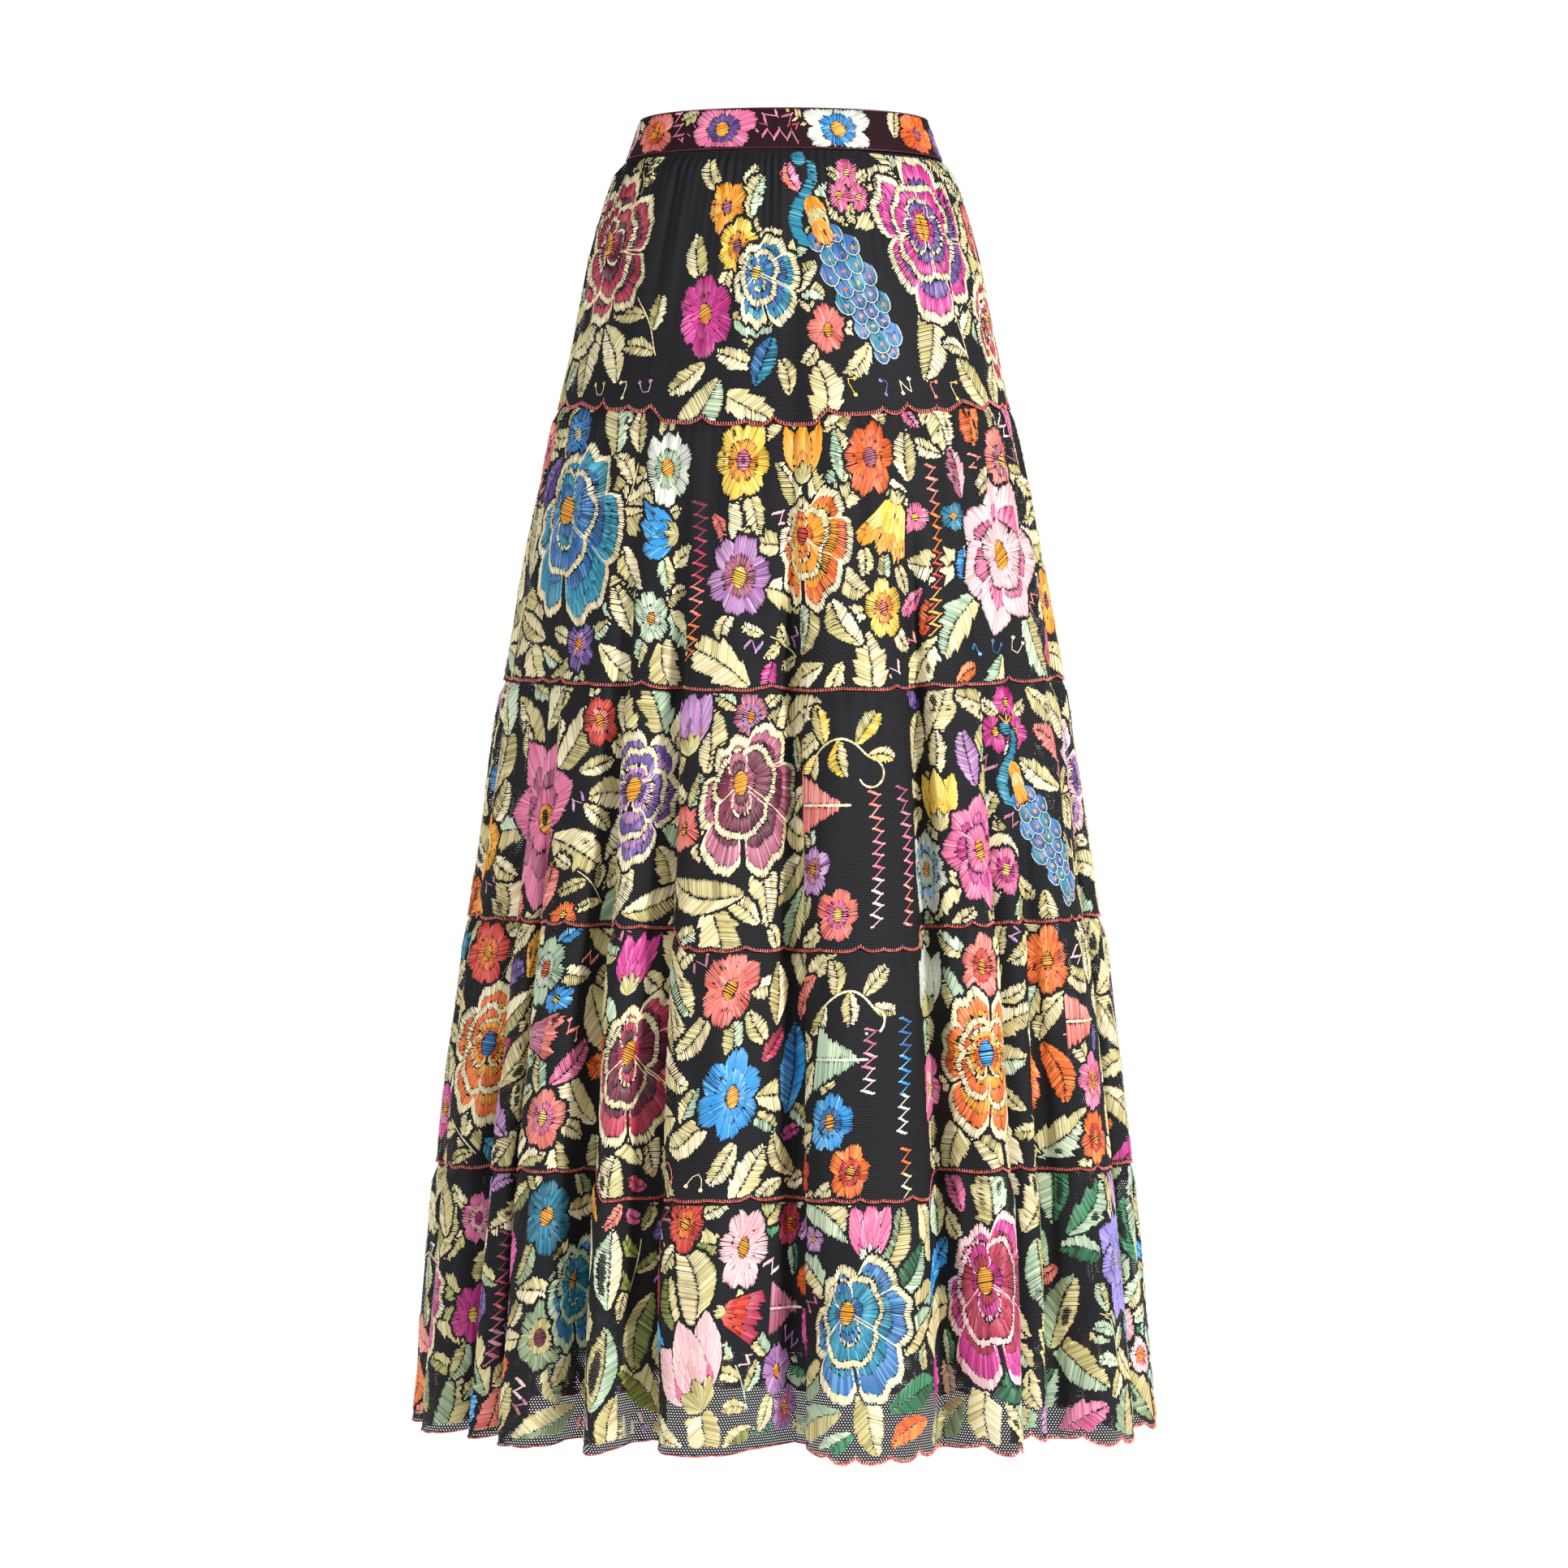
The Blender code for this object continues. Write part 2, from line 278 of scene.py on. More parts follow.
Shades = Sequence[Floss]
Bands = Sequence[tuple[float, Floss]]


def linear(colour: str) -> tuple[float, float, float, float]:
    """Turns an sRGB hex colour to linear red, green, blue and alpha.

    Args:
        colour: six hex digits.

    Returns:
        The four values that a shader's socket takes.
    """
    parts = [int(colour[i : i + 2], 16) / 255 for i in (0, 2, 4)]
    red, green, blue = (c / 12.92 if c <= 0.04045 else ((c + 0.055) / 1.055) ** 2.4 for c in parts)
    return red, green, blue, 1.0


def eased(value: Array) -> Array:
    """Runs from 0 to 1 with a level start and end."""
    t = np.clip(value, 0.0, 1.0)
    return t * t * (3.0 - 2.0 * t)


def wrapped(angle: Array) -> Array:
    """Brings angles in radians to within half a turn either side of the front."""
    return (angle + math.pi) % (2 * math.pi) - math.pi


def turned(points: Array, degrees: float) -> Array:
    """Turns points of a plane anticlockwise about its origin."""
    a = math.radians(degrees)
    return points @ np.array(((math.cos(a), math.sin(a)), (-math.sin(a), math.cos(a))))


def run_along(path: Array) -> Array:
    """Gives the way covered along a path up to each of its points."""
    return np.concatenate(([0.0], np.cumsum(np.hypot(*np.diff(path, axis=0).T))))


def read_along(places: Array, run: Array, path: Array) -> Array:
    """Gives the points of a path at places along it, where run is the way up to each of its points."""
    return np.stack([np.interp(places, run, path[:, k]) for k in (0, 1)], -1)


def add_node(tree: NodeTree, kind: str, links: dict | None = None, **settings: object) -> Node:
    """Adds a shader node with its settings, and links or sets its inputs.

    Args:
        tree: the material's node tree.
        kind: the node's type name.
        links: for each input's name or number, the socket that feeds it or the value it holds.
        **settings: attributes of the node.

    Returns:
        The new node.
    """
    node = tree.nodes.new(kind)
    for name, value in settings.items():
        setattr(node, name, value)
    join(node, links or {})
    return node


def join(node: Node, links: dict) -> None:
    """Links or sets a node's inputs, each by its name or number."""
    for name, value in links.items():
        socket = node.inputs[name]
        if isinstance(value, NodeSocket):
            node.id_data.links.new(value, socket)
        else:
            socket.default_value = value


def new_material(name: str) -> tuple[Material, NodeTree, Node]:
    """Makes a material, and returns it with its tree and its Principled shader."""
    material = bpy.data.materials.new(name)
    material.use_nodes = True
    return material, material.node_tree, material.node_tree.nodes["Principled BSDF"]


def hexagon_threads(tree: NodeTree, cloth: NodeSocket, pitch: float, half_thread: float) -> NodeSocket:
    """Draws the threads of a hexagonal net.

    Args:
        tree: the material's node tree.
        cloth: coordinates on the cloth, in metres.
        pitch: distance between neighbouring holes, in metres.
        half_thread: half of a thread's width, as a share of the pitch.

    Returns:
        A socket that is 1 on a thread and 0 in a hole.
    """
    cell = (1.0, math.sqrt(3.0), 1.0)
    half = (0.5, math.sqrt(3.0) / 2, 0.5)
    sums = "ShaderNodeVectorMath"
    scaled = add_node(tree, sums, {0: cloth, 1: (1 / pitch,) * 3}, operation="MULTIPLY").outputs[0]
    lifted = add_node(tree, sums, {0: scaled, 1: half}, operation="ADD").outputs[0]
    corners = []
    for place in (scaled, lifted):
        within = add_node(tree, sums, {0: place, 1: cell}, operation="MODULO").outputs[0]
        centred = add_node(tree, sums, {0: within, 1: half}, operation="SUBTRACT").outputs[0]
        flat = add_node(tree, sums, {0: centred, 1: (1, 1, 0)}, operation="MULTIPLY").outputs[0]
        corners.append(add_node(tree, sums, {0: flat}, operation="ABSOLUTE").outputs[0])
    reach = [add_node(tree, sums, {0: corner}, operation="LENGTH").outputs["Value"] for corner in corners]
    nearer = add_node(tree, "ShaderNodeMath", {0: reach[0], 1: reach[1]}, operation="LESS_THAN").outputs[0]
    pick = {0: nearer, 4: corners[1], 5: corners[0]}
    chosen = add_node(tree, "ShaderNodeMix", pick, data_type="VECTOR").outputs[1]
    slanted = add_node(tree, sums, {0: chosen, 1: half}, operation="DOT_PRODUCT").outputs["Value"]
    upright = add_node(tree, "ShaderNodeSeparateXYZ", {0: chosen}).outputs[0]
    reached = add_node(tree, "ShaderNodeMath", {0: slanted, 1: upright}, operation="MAXIMUM").outputs[0]
    edge = 0.5 - half_thread
    limits = {0: reached, 1: edge - THREAD_BLUR, 2: edge + THREAD_BLUR}
    return add_node(tree, "ShaderNodeMapRange", limits, interpolation_type="SMOOTHSTEP").outputs[0]


@dataclass(frozen=True)
class NetFinish:
    """Soft polyester net, knitted in hexagons: matt black threads round see-through holes.

    Real holes are about 1.75 mm apart. They are drawn 2.4 mm apart, so that they show in the picture.
    """

    colour: str = "1d1d20"
    pitch: float = 0.0024
    half_thread: float = 0.285
    roughness: float = 0.75

    def build(self) -> Material:
        """Builds the material, whose holes follow the sheet's own UV map, in metres."""
        material, tree, shader = new_material("knitted_hexagonal_net")
        uv = add_node(tree, "ShaderNodeUVMap", uv_map="cloth")
        threads = hexagon_threads(tree, uv.outputs[0], self.pitch, self.half_thread)
        join(shader, {"Base Color": linear(self.colour), "Alpha": threads})
        join(shader, {"Roughness": self.roughness, "Specular IOR Level": 0.25})
        return material


@dataclass(frozen=True)
class SlipFinish:
    """Acetate lining, woven close with a soft sheen, black. Weave and creases show as a fine grain."""

    colour: str = "060607"
    thread_mm: float = 0.7
    roughness: float = 0.46
    crease_scale: float = 14.0

    def build(self) -> Material:
        """Builds the material. The real threads are finer, and are drawn 0.7 mm wide."""
        material, tree, shader = new_material("woven_acetate_lining")
        place = add_node(tree, "ShaderNodeTexCoord").outputs["Object"]
        grain = {"Vector": place, "Scale": 1 / (self.thread_mm * MM), "Detail": 1.0}
        weave = add_node(tree, "ShaderNodeTexNoise", grain).outputs[0]
        waves = {"Vector": place, "Scale": self.crease_scale, "Detail": 3.0, "Distortion": 0.6}
        crease = add_node(tree, "ShaderNodeTexNoise", waves).outputs[0]
        limits = {0: crease, 3: self.roughness - 0.08, 4: self.roughness + 0.1}
        sheen = add_node(tree, "ShaderNodeMapRange", limits)
        bump = add_node(tree, "ShaderNodeBump", {"Height": weave, "Strength": 0.25, "Distance": 0.0003})
        relief = {"Height": crease, "Strength": 0.5, "Distance": 0.004, "Normal": bump.outputs[0]}
        fold = add_node(tree, "ShaderNodeBump", relief)
        join(shader, {"Base Color": linear(self.colour), "Specular IOR Level": 0.2})
        join(shader, {"Roughness": sheen.outputs[0], "Normal": fold.outputs[0]})
        return material


@dataclass(frozen=True)
class BandFinish:
    """Maroon net over firm black cotton: the band's ground, with the net's threads as fine relief."""

    ground: str = "0b0406"
    thread: str = "35101a"
    pitch: float = 0.0022
    half_thread: float = 0.14

    def build(self) -> Material:
        """Builds the material on the band's own UV map, in metres."""
        material, tree, shader = new_material("net_backed_cotton_band")
        uv = add_node(tree, "ShaderNodeUVMap", uv_map="cloth")
        threads = hexagon_threads(tree, uv.outputs[0], self.pitch, self.half_thread)
        colours = {0: threads, 6: linear(self.ground), 7: linear(self.thread)}
        colour = add_node(tree, "ShaderNodeMix", colours, data_type="RGBA")
        bump = add_node(tree, "ShaderNodeBump", {"Height": threads, "Strength": 0.5, "Distance": 0.0003})
        join(shader, {"Base Color": colour.outputs[2], "Normal": bump.outputs[0]})
        join(shader, {"Roughness": 0.8, "Specular IOR Level": 0.2})
        return material


@dataclass(frozen=True)
class ZipFinish:
    """Polyester zip tape, woven in a fine rib, black and matt."""

    colour: str = "0b0b0d"
    rib_mm: float = 0.9

    def build(self) -> Material:
        """Builds the material, with ribs along the tape."""
        material, tree, shader = new_material("woven_zip_tape")
        place = add_node(tree, "ShaderNodeTexCoord").outputs["Object"]
        waves = {"Vector": place, "Scale": WAVE_SCALE / (self.rib_mm * MM)}
        rib = add_node(tree, "ShaderNodeTexWave", waves, bands_direction="Z").outputs["Fac"]
        rough = add_node(tree, "ShaderNodeMapRange", {0: rib, 3: 0.55, 4: 0.75})
        bump = add_node(tree, "ShaderNodeBump", {"Height": rib, "Strength": 0.4, "Distance": 0.0002})
        join(shader, {"Base Color": linear(self.colour)})
        join(shader, {"Roughness": rough.outputs[0], "Normal": bump.outputs[0]})
        return material


@dataclass(frozen=True)
class FlossFinish:
    """Untwisted rayon floss: bright and glossy, with fine filaments along each strand."""

    filament_mm: float = 0.25
    specular: float = 0.62
    sheen: float = 0.10

    def build(self, shade: Floss, tone: int) -> Material:
        """Builds one shade's material.

        Args:
            shade: the floss's colour.
            tone: 0 for its dark strand, 1 for its middle one and 2 for its light one, which mix random strand
                variation with painted sheen.

        Returns:
            A material with filaments that run along each stitch's UV map.
        """
        name = f"rayon_floss_{shade.name.lower()}_{('dark', 'middle', 'light')[tone]}"
        if ready := bpy.data.materials.get(name):
            return ready
        material, tree, shader = new_material(name)
        uv = add_node(tree, "ShaderNodeUVMap", uv_map="thread").outputs[0]
        fine = add_node(tree, "ShaderNodeMapping", {"Vector": uv, "Scale": (1 / self.filament_mm, 0.12, 1.0)})
        grain = {"Vector": fine.outputs[0], "Scale": 1.0, "Detail": 1.0}
        lines = add_node(tree, "ShaderNodeTexNoise", grain).outputs[0]
        rough = add_node(tree, "ShaderNodeMapRange", {0: lines, 3: 0.30, 4: 0.46})
        bump = add_node(tree, "ShaderNodeBump", {"Height": lines, "Strength": 0.35, "Distance": 0.0002})
        join(shader, {"Base Color": linear(shade.value[tone]), "Sheen Weight": self.sheen})
        join(shader, {"Specular IOR Level": self.specular})
        join(shader, {"Roughness": rough.outputs[0], "Normal": bump.outputs[0]})
        return material


@dataclass(frozen=True)
class BackdropFinish:
    """White seamless paper with its own even light, which keeps it free of shadows."""

    colour: str = "ffffff"
    unlit: str = "202020"

    def build(self) -> Material:
        """Builds the paper, with a grain that only shows close by."""
        material, tree, shader = new_material("white_seamless_paper")
        place = add_node(tree, "ShaderNodeTexCoord").outputs["Object"]
        grain = add_node(tree, "ShaderNodeTexNoise", {"Vector": place, "Scale": 900.0}).outputs[0]
        bump = add_node(tree, "ShaderNodeBump", {"Height": grain, "Strength": 0.05, "Distance": 0.0002})
        join(shader, {"Base Color": linear(self.unlit), "Roughness": 0.9, "Specular IOR Level": 0.0})
        join(shader, {"Emission Color": linear(self.colour), "Emission Strength": 1.0})
        join(shader, {"Normal": bump.outputs[0]})
        return material


class Curve:
    """A smooth curve through a table's rows, level beyond its ends."""

    def __init__(self, heights: Sequence[float], values: Sequence[float]) -> None:
        """Keeps the rows in rising order of height, with the slope at each."""
        order = np.argsort(heights)
        self.x = np.asarray(heights, float)[order]
        self.y = np.asarray(values, float)[order]
        self.slope = np.empty_like(self.y)
        self.slope[1:-1] = (self.y[2:] - self.y[:-2]) / (self.x[2:] - self.x[:-2])
        self.slope[0] = (self.y[1] - self.y[0]) / (self.x[1] - self.x[0])
        self.slope[-1] = (self.y[-1] - self.y[-2]) / (self.x[-1] - self.x[-2])

    def at(self, x: Array) -> Array:
        """Reads the curve at each height."""
        x = np.clip(x, self.x[0], self.x[-1])
        i = np.clip(np.searchsorted(self.x, x, side="right") - 1, 0, len(self.x) - 2)
        step = self.x[i + 1] - self.x[i]
        t = (x - self.x[i]) / step
        return (
            self.y[i] * (1 + 2 * t) * (1 - t) ** 2
            + self.slope[i] * step * t * (1 - t) ** 2
            + self.y[i + 1] * t * t * (3 - 2 * t)
            + self.slope[i + 1] * step * t * t * (t - 1)
        )


class SkirtForm:
    """The worn skirt's form: the solids' outline and folds, and the creases and seams of thin sheets."""

    def __init__(self) -> None:
        """Makes the curves of the plan, and the gathers' uneven spacing."""
        heights, *columns = zip(*SECTIONS)
        self.half_width, self.half_depth, self.back_shift = (Curve(heights, column) for column in columns)
        self.lining_ease = Curve(*zip(*LINING_EASE))
        self.gather_steps = np.linspace(-GATHERS, 2 * GATHERS, 3 * STEPS_PER_GATHER * GATHERS + 1)
        turn = 2 * math.pi * self.gather_steps / GATHERS
        self.gather_angles = turn + 0.009 * np.sin(6 * turn) + 0.005 * np.sin(14 * turn)

    def plan(self, angle: Array, z: Array) -> tuple[Array, Array]:
        """Gives the unfolded outline.

        Args:
            angle: angles in radians.
            z: heights.

        Returns:
            The points and the outward directions, both in plan.
        """
        width, depth = self.half_width.at(z), self.half_depth.at(z)
        s, c = np.sin(angle), np.cos(angle)
        x = width * s * (1 + SQUARENESS * c * c)
        y = self.back_shift.at(z) - depth * c * (1 + SQUARENESS * s * s)
        along_x = width * c * (1 + SQUARENESS * (c * c - 2 * s * s))
        along_y = depth * s * (1 + SQUARENESS * (s * s - 2 * c * c))
        size = np.hypot(along_x, along_y)
        return np.stack((x, y), -1), np.stack((along_y / size, -along_x / size), -1)

    def fold_height(self, angle: Array, z: Array) -> Array:
        """Tells how far the folds stand out of the outline: 0 on a crest, less between folds."""
        height = -FOLD_RECESS * np.clip((RECESS_TOP - z) / (RECESS_TOP - HEM), 0, 1)
        for fold in FOLDS:
            u = wrapped(angle - math.radians(fold.angle)) / math.radians(fold.half_angle)
            u = np.where(np.abs(u) < 1.0, u + fold.lean * (1.0 - u * u), 1.0)
            grown = np.clip((fold.top - z) / (fold.top - HEM), 0, 1)
            height = height + fold.depth * grown * (1.0 - np.abs(u) ** fold.fullness) ** 2
        return height

    def tucked(self, angle: Array, z: Array, wider: float = 1.0) -> Array:
        """Tells how deep the narrow creases between the folds go, when they are this much wider."""
        depth = np.zeros_like(angle)
        for tuck in TUCKS:
            away = np.degrees(wrapped(angle - math.radians(tuck.angle))) * tuck.steep
            shape = np.exp(-((away / (wider * np.where(away > 0, TUCK_STEEP, TUCK_SOFT))) ** 2))
            depth = depth + tuck.depth * eased((tuck.top - z) / TUCK_GROWTH) * shape
        return depth

    def folded(self, angle: Array, z: Array) -> Array:
        """Gives the folded outline's points, in plan."""
        point, outward = self.plan(angle, z)
        return point + outward * self.fold_height(angle, z)[..., None]

    def wall(self, angle: Array, z: Array, proud: Array) -> Array:
        """Gives points of the folded wall.

        Args:
            angle: angles in radians.
            z: heights.
            proud: how far each point stands out of the wall, level with the ground.

        Returns:
            Points in space.
        """
        along = self.folded(angle + 0.004, z) - self.folded(angle - 0.004, z)
        along /= np.linalg.norm(along, axis=-1, keepdims=True)
        point = self.folded(angle, z) + np.stack((along[..., 1], -along[..., 0]), -1) * proud[..., None]
        return np.concatenate((point, z[..., None]), -1)

    def lining(self, angle: Array, z: Array, inward: float = 0.0) -> Array:
        """Gives points of the slip, inside the outline in soft waves that grow towards its hem."""
        point, outward = self.plan(angle, z)
        grown = np.clip(z / LINING_HEM, 0, 1) ** 1.5
        wave = LINING_WAVE_DEPTH * grown * np.sin(LINING_WAVES * angle + 0.7 * np.sin(3 * angle))
        inward = inward + LINING_TUCK_SHARE * self.tucked(angle, z, LINING_TUCK_WIDER)
        point = point - outward * (self.lining_ease.at(z) - wave + inward)[..., None]
        return np.concatenate((point, z[..., None]), -1)

    def seam_height(self, seam: Seam, angle: Array) -> Array:
        """Gives a seam's height, higher at the sides and lower across the front's middle stretch."""
        degrees = np.degrees(wrapped(angle))
        sag = eased((degrees - seam.sag_from) / SAG_RUN + 0.5)
        sag = sag * eased((seam.sag_to - degrees) / SAG_RUN + 0.5)
        level = seam.front + (seam.side - seam.front) * np.sin(angle) ** 2
        if seam.side == HEM:
            crest = self.fold_height(angle, np.full_like(angle, HEM)) / FOLD_RECESS + 0.5
            level = level - CREST_DROP * crest
        return level - seam.sag * sag

    def gather_at(self, angle: Array) -> Array:
        """Counts gathers round the skirt up to each angle."""
        return np.interp(angle, self.gather_angles, self.gather_steps)


class ClothSurface:
    """A band of cloth round the skirt, with places on it given as u and millimetres down.

    u runs from 0 to 1 round the front, from the wearer's right to the left, and from 1 to 2 round the
    back, evenly along the folded cloth.
    """

    depth_mm = 260.0
    rows = 14
    steps = 1440

    def __init__(self, form: SkirtForm) -> None:
        """Measures the cloth round the skirt at each depth."""
        self.form = form
        self.levels = np.linspace(0.0, self.depth_mm, self.rows)
        angles = np.linspace(-math.pi / 2, 3 * math.pi / 2, 2 * self.steps + 1)
        self.u_grid = np.linspace(0.0, 2.0, 2 * self.steps + 1)
        self.angle_grid = np.empty((self.rows, 2 * self.steps + 1))
        self.lengths = np.empty((self.rows, 2))
        for row, level in enumerate(self.levels):
            z = self.top(angles) - level * MM
            line = self.form.wall(angles, z, -self.form.tucked(angles, z))[:, :2]
            run = run_along(line)
            front, whole = run[self.steps], run[-1]
            u = np.where(run <= front, run / front, 1.0 + (run - front) / (whole - front))
            self.angle_grid[row] = np.interp(self.u_grid, u, angles)
            self.lengths[row] = front * 1000, (whole - front) * 1000

    def top(self, angle: Array) -> Array:
        """Gives the height that the cloth is measured down from."""
        raise NotImplementedError

    def proud(self, angle: Array, down: Array) -> Array:
        """Gives the cloth's relief over the plain form, in millimetres."""
        raise NotImplementedError

    def room(self, angle: Array) -> tuple[Array, Array]:
        """Gives how far down embroidery may begin and end, in millimetres."""
        raise NotImplementedError

    def length_at(self, down: Array, half: int) -> Array:
        """Gives the cloth's length round the front (0) or the back (1), in millimetres."""
        return np.interp(down, self.levels, self.lengths[:, half])

    def angle_at(self, u: Array, down: Array) -> Array:
        """Gives the angle of each place on the cloth."""
        column = np.mod(u, 2.0) * self.steps
        left = np.clip(column.astype(int), 0, 2 * self.steps - 1)
        across = column - left
        row = np.clip(down / self.depth_mm, 0, 1) * (self.rows - 1)
        upper = np.clip(row.astype(int), 0, self.rows - 2)
        lower_share = row - upper
        grid = self.angle_grid
        above = grid[upper, left] * (1 - across) + grid[upper, left + 1] * across
        below = grid[upper + 1, left] * (1 - across) + grid[upper + 1, left + 1] * across
        return above * (1 - lower_share) + below * lower_share

    def u_at(self, degrees: float, down: float) -> float:
        """Gives u for an angle in degrees, at this depth."""
        angle = math.radians((degrees + 90) % 360 - 90)
        row = int(round(np.clip(down / self.depth_mm, 0, 1) * (self.rows - 1)))
        return float(np.interp(angle, self.angle_grid[row], self.u_grid))

    def point(self, angle: Array, down: Array) -> Array:
        """Gives the cloth's points in space."""
        z = self.top(angle) - down * MM
        return self.form.wall(angle, z, self.proud(angle, down) * MM - self.form.tucked(angle, z))

    def point_and_normal(self, u: Array, down: Array) -> tuple[Array, Array]:
        """Gives the cloth's points and the outward normals there."""
        angle = self.angle_at(u, down)
        across = self.point(angle + 0.006, down) - self.point(angle - 0.006, down)
        upward = self.point(angle, down - 1.5) - self.point(angle, down + 1.5)
        normal = np.cross(across, upward)
        normal /= np.linalg.norm(normal, axis=-1, keepdims=True)
        return self.point(angle, down), normal


class BandSurface(ClothSurface):
    """The waistband's outer face, measured down from its top edge."""

    depth_mm = BAND_HEIGHT * 1000
    rows = 3

    def top(self, angle: Array) -> Array:
        """Gives the band's top edge."""
        return np.full_like(angle, -BAND_BOTTOM)

    def proud(self, angle: Array, down: Array) -> Array:
        """The band is firm and smooth."""
        return np.zeros_like(angle)

    def room(self, angle: Array) -> tuple[Array, Array]:
        """Motifs run from seam to seam."""
        return np.full_like(angle, 1.2), np.full_like(angle, self.depth_mm - 1.5)


class TierSurface(ClothSurface):
    """One gathered tier of net, measured down from the seam above it."""

    def __init__(self, form: SkirtForm, number: int) -> None:
        """Takes the tier's number, from 1 at the waist to 5 at the hem."""
        self.number = number
        self.above = SEAMS[number - 2] if number > 1 else None
        self.below = SEAMS[number - 1]
        super().__init__(form)

    def top(self, angle: Array) -> Array:
        """Gives the height of the seam above."""
        if self.above:
            return self.form.seam_height(self.above, angle)
        return np.full_like(angle, BAND_BOTTOM - SEAM_GAP)

    def edge(self, angle: Array) -> Array:
        """Gives the height of the lower edge: uneven scallops with cusps that point up between them."""
        turn = wrapped(angle)
        k = self.number
        scallop = self.form.gather_at(turn) * SCALLOPS_PER_GATHER[k]
        scallop = scallop + 0.20 * np.sin(9 * turn + k) + 0.12 * np.sin(23 * turn + 2 * k)
        lively = 0.5 + 0.5 * np.sin(2.4 * np.rint(scallop) + k)
        size = {1: 0.45 + 0.55 * lively, len(SEAMS): 0.7 + 0.3 * lively}.get(k, 0.30 + 0.70 * lively**2)
        drop = 1.0 - size * (1.0 - np.abs(np.sin(math.pi * scallop)) ** 0.55)
        deep = self.below.scallop
        if k == len(SEAMS):
            degrees = np.degrees(turn)
            left, right = eased((degrees - 2.0) / 6.0), eased((-degrees - 90.0) / 8.0)
            deep = 0.0015 + (deep - 0.0015) * left + 0.0030 * right
        return self.form.seam_height(self.below, angle) - deep * drop

    def height_mm(self, angle: Array) -> Array:
        """Gives the tier's height from the seam above to its edge."""
        return (self.top(angle) - self.edge(angle)) * 1000

    def room(self, angle: Array) -> tuple[Array, Array]:
        """Motifs keep clear of the lap and the edging, and of the bare net over the hem."""
        bare = 6.5 if self.number == len(SEAMS) else 2.6
        first = 7.5 if self.above else 3.0
        return np.full_like(angle, first), self.height_mm(angle) - bare

    def proud(self, angle: Array, down: Array) -> Array:
        """The lap lies inside the tier above. Gathers swell below it, and fine creases fade out."""
        gather = self.form.gather_at(wrapped(angle))
        size = 0.75 + 0.25 * np.sin(1.9 * np.floor(gather + 0.25) + 2.3 * self.number)
        height = np.maximum(self.height_mm(angle), 60.0)
        swell = self.below.gather * 1000 * size * np.cos(2 * math.pi * gather)
        grown = eased((down - 2.0) / 26.0) * (1 - eased((down - 40.0) / (height - 45.0)))
        k = self.number
        ripple = np.sin(130 * angle + 2.1 * np.sin(7 * angle + k) + 1.3 * np.sin(17 * angle + 2 * k))
        ripple = ripple * (0.62 + 0.38 * np.sin(23 * angle + 3 * k))
        size = 1.4 if k == 1 else 1.1
        faded = np.exp(-np.maximum(down - 8.0, 0.0) / (50.0 * size))
        fine = size * ripple * eased((down - 1.0) / 8.0) * faded
        soft = 1.1 * np.sin(41 * angle + 1.7 * np.sin(5 * angle + 2 * k) + down / 60.0)
        soft = soft * eased((down - 20) / 60) * (1 - eased((down - 0.55 * height) / (0.45 * height)))
        lap = -LAP_INSET_MM if self.above else -SEAM_GAP * 1000
        inset = lap * (1 - eased((down - LAP_BELOW_MM + 1.0) / 9.0))
        return inset + swell * grown + fine + soft


class Shape(Enum):
    """Outlines of a petal."""

    ROUND = "round"
    POINTED = "pointed"
    BROAD = "broad"


class StitchRun(NamedTuple):
    """Stitches of one shade: their ends, widths and lifts in millimetres, and their tones."""

    start: Array
    end: Array
    width: Array
    lift: Array
    tone: Array
    shade: Floss

    def way(self) -> Array:
        """Gives even stations along each stitch."""
        return self.start[:, None] + (self.end - self.start)[:, None] * STATIONS[None, :, None]

    def cut_back(self, way: Array, taken: Array, shortest: float, scale: float = 1.0) -> "StitchRun":
        """Cuts each stitch back to the longest stretch that nothing covers.

        Args:
            way: stations along each stitch.
            taken: for each stitch, a row that tells which of its stations are covered.
            shortest: the least length that is kept, in millimetres.
            scale: the millimetres in one step of x.

        Returns:
            The stitches that are left.
        """
        run, best, last = np.zeros(len(taken), int), np.zeros(len(taken), int), np.full(len(taken), -1)
        for k in range(taken.shape[1]):
            run = np.where(taken[:, k], 0, run + 1)
            longer = run > best
            best, last = np.where(longer, run, best), np.where(longer, k, last)
        rows = np.flatnonzero(best > 1)
        start, end = way[rows, (last - best + 1)[rows]], way[rows, last[rows]]
        fit = np.hypot((end - start)[:, 0] * scale, (end - start)[:, 1]) > shortest
        rows = rows[fit]
        return StitchRun(start[fit], end[fit], self.width[rows], self.lift[rows], self.tone[rows], self.shade)


def inside(places: Array, outline: Array) -> Array:
    """Tells which places lie within a closed outline.

    Args:
        places: points of a plane.
        outline: the outline's corners in order.

    Returns:
        True for each place within.
    """
    x, y = places[:, :1], places[:, 1:]
    x1, y1 = outline.T
    x2, y2 = np.roll(outline, -1, axis=0).T
    rise = np.where(y2 == y1, 1e-9, y2 - y1)
    crossed = ((y1 > y) != (y2 > y)) & (x < (x2 - x1) * (y - y1) / rise + x1)
    return crossed.sum(axis=1) % 2 == 1


def ring(rng: np.random.Generator, count: int, wobble: float) -> Iterator[float]:
    """Gives the turns of a ring of petals or leaves, each off its even place by up to the wobble."""
    first = rng.uniform(0, 360 / count)
    for k in range(count):
        yield first + 360 * k / count + rng.uniform(-wobble, wobble)


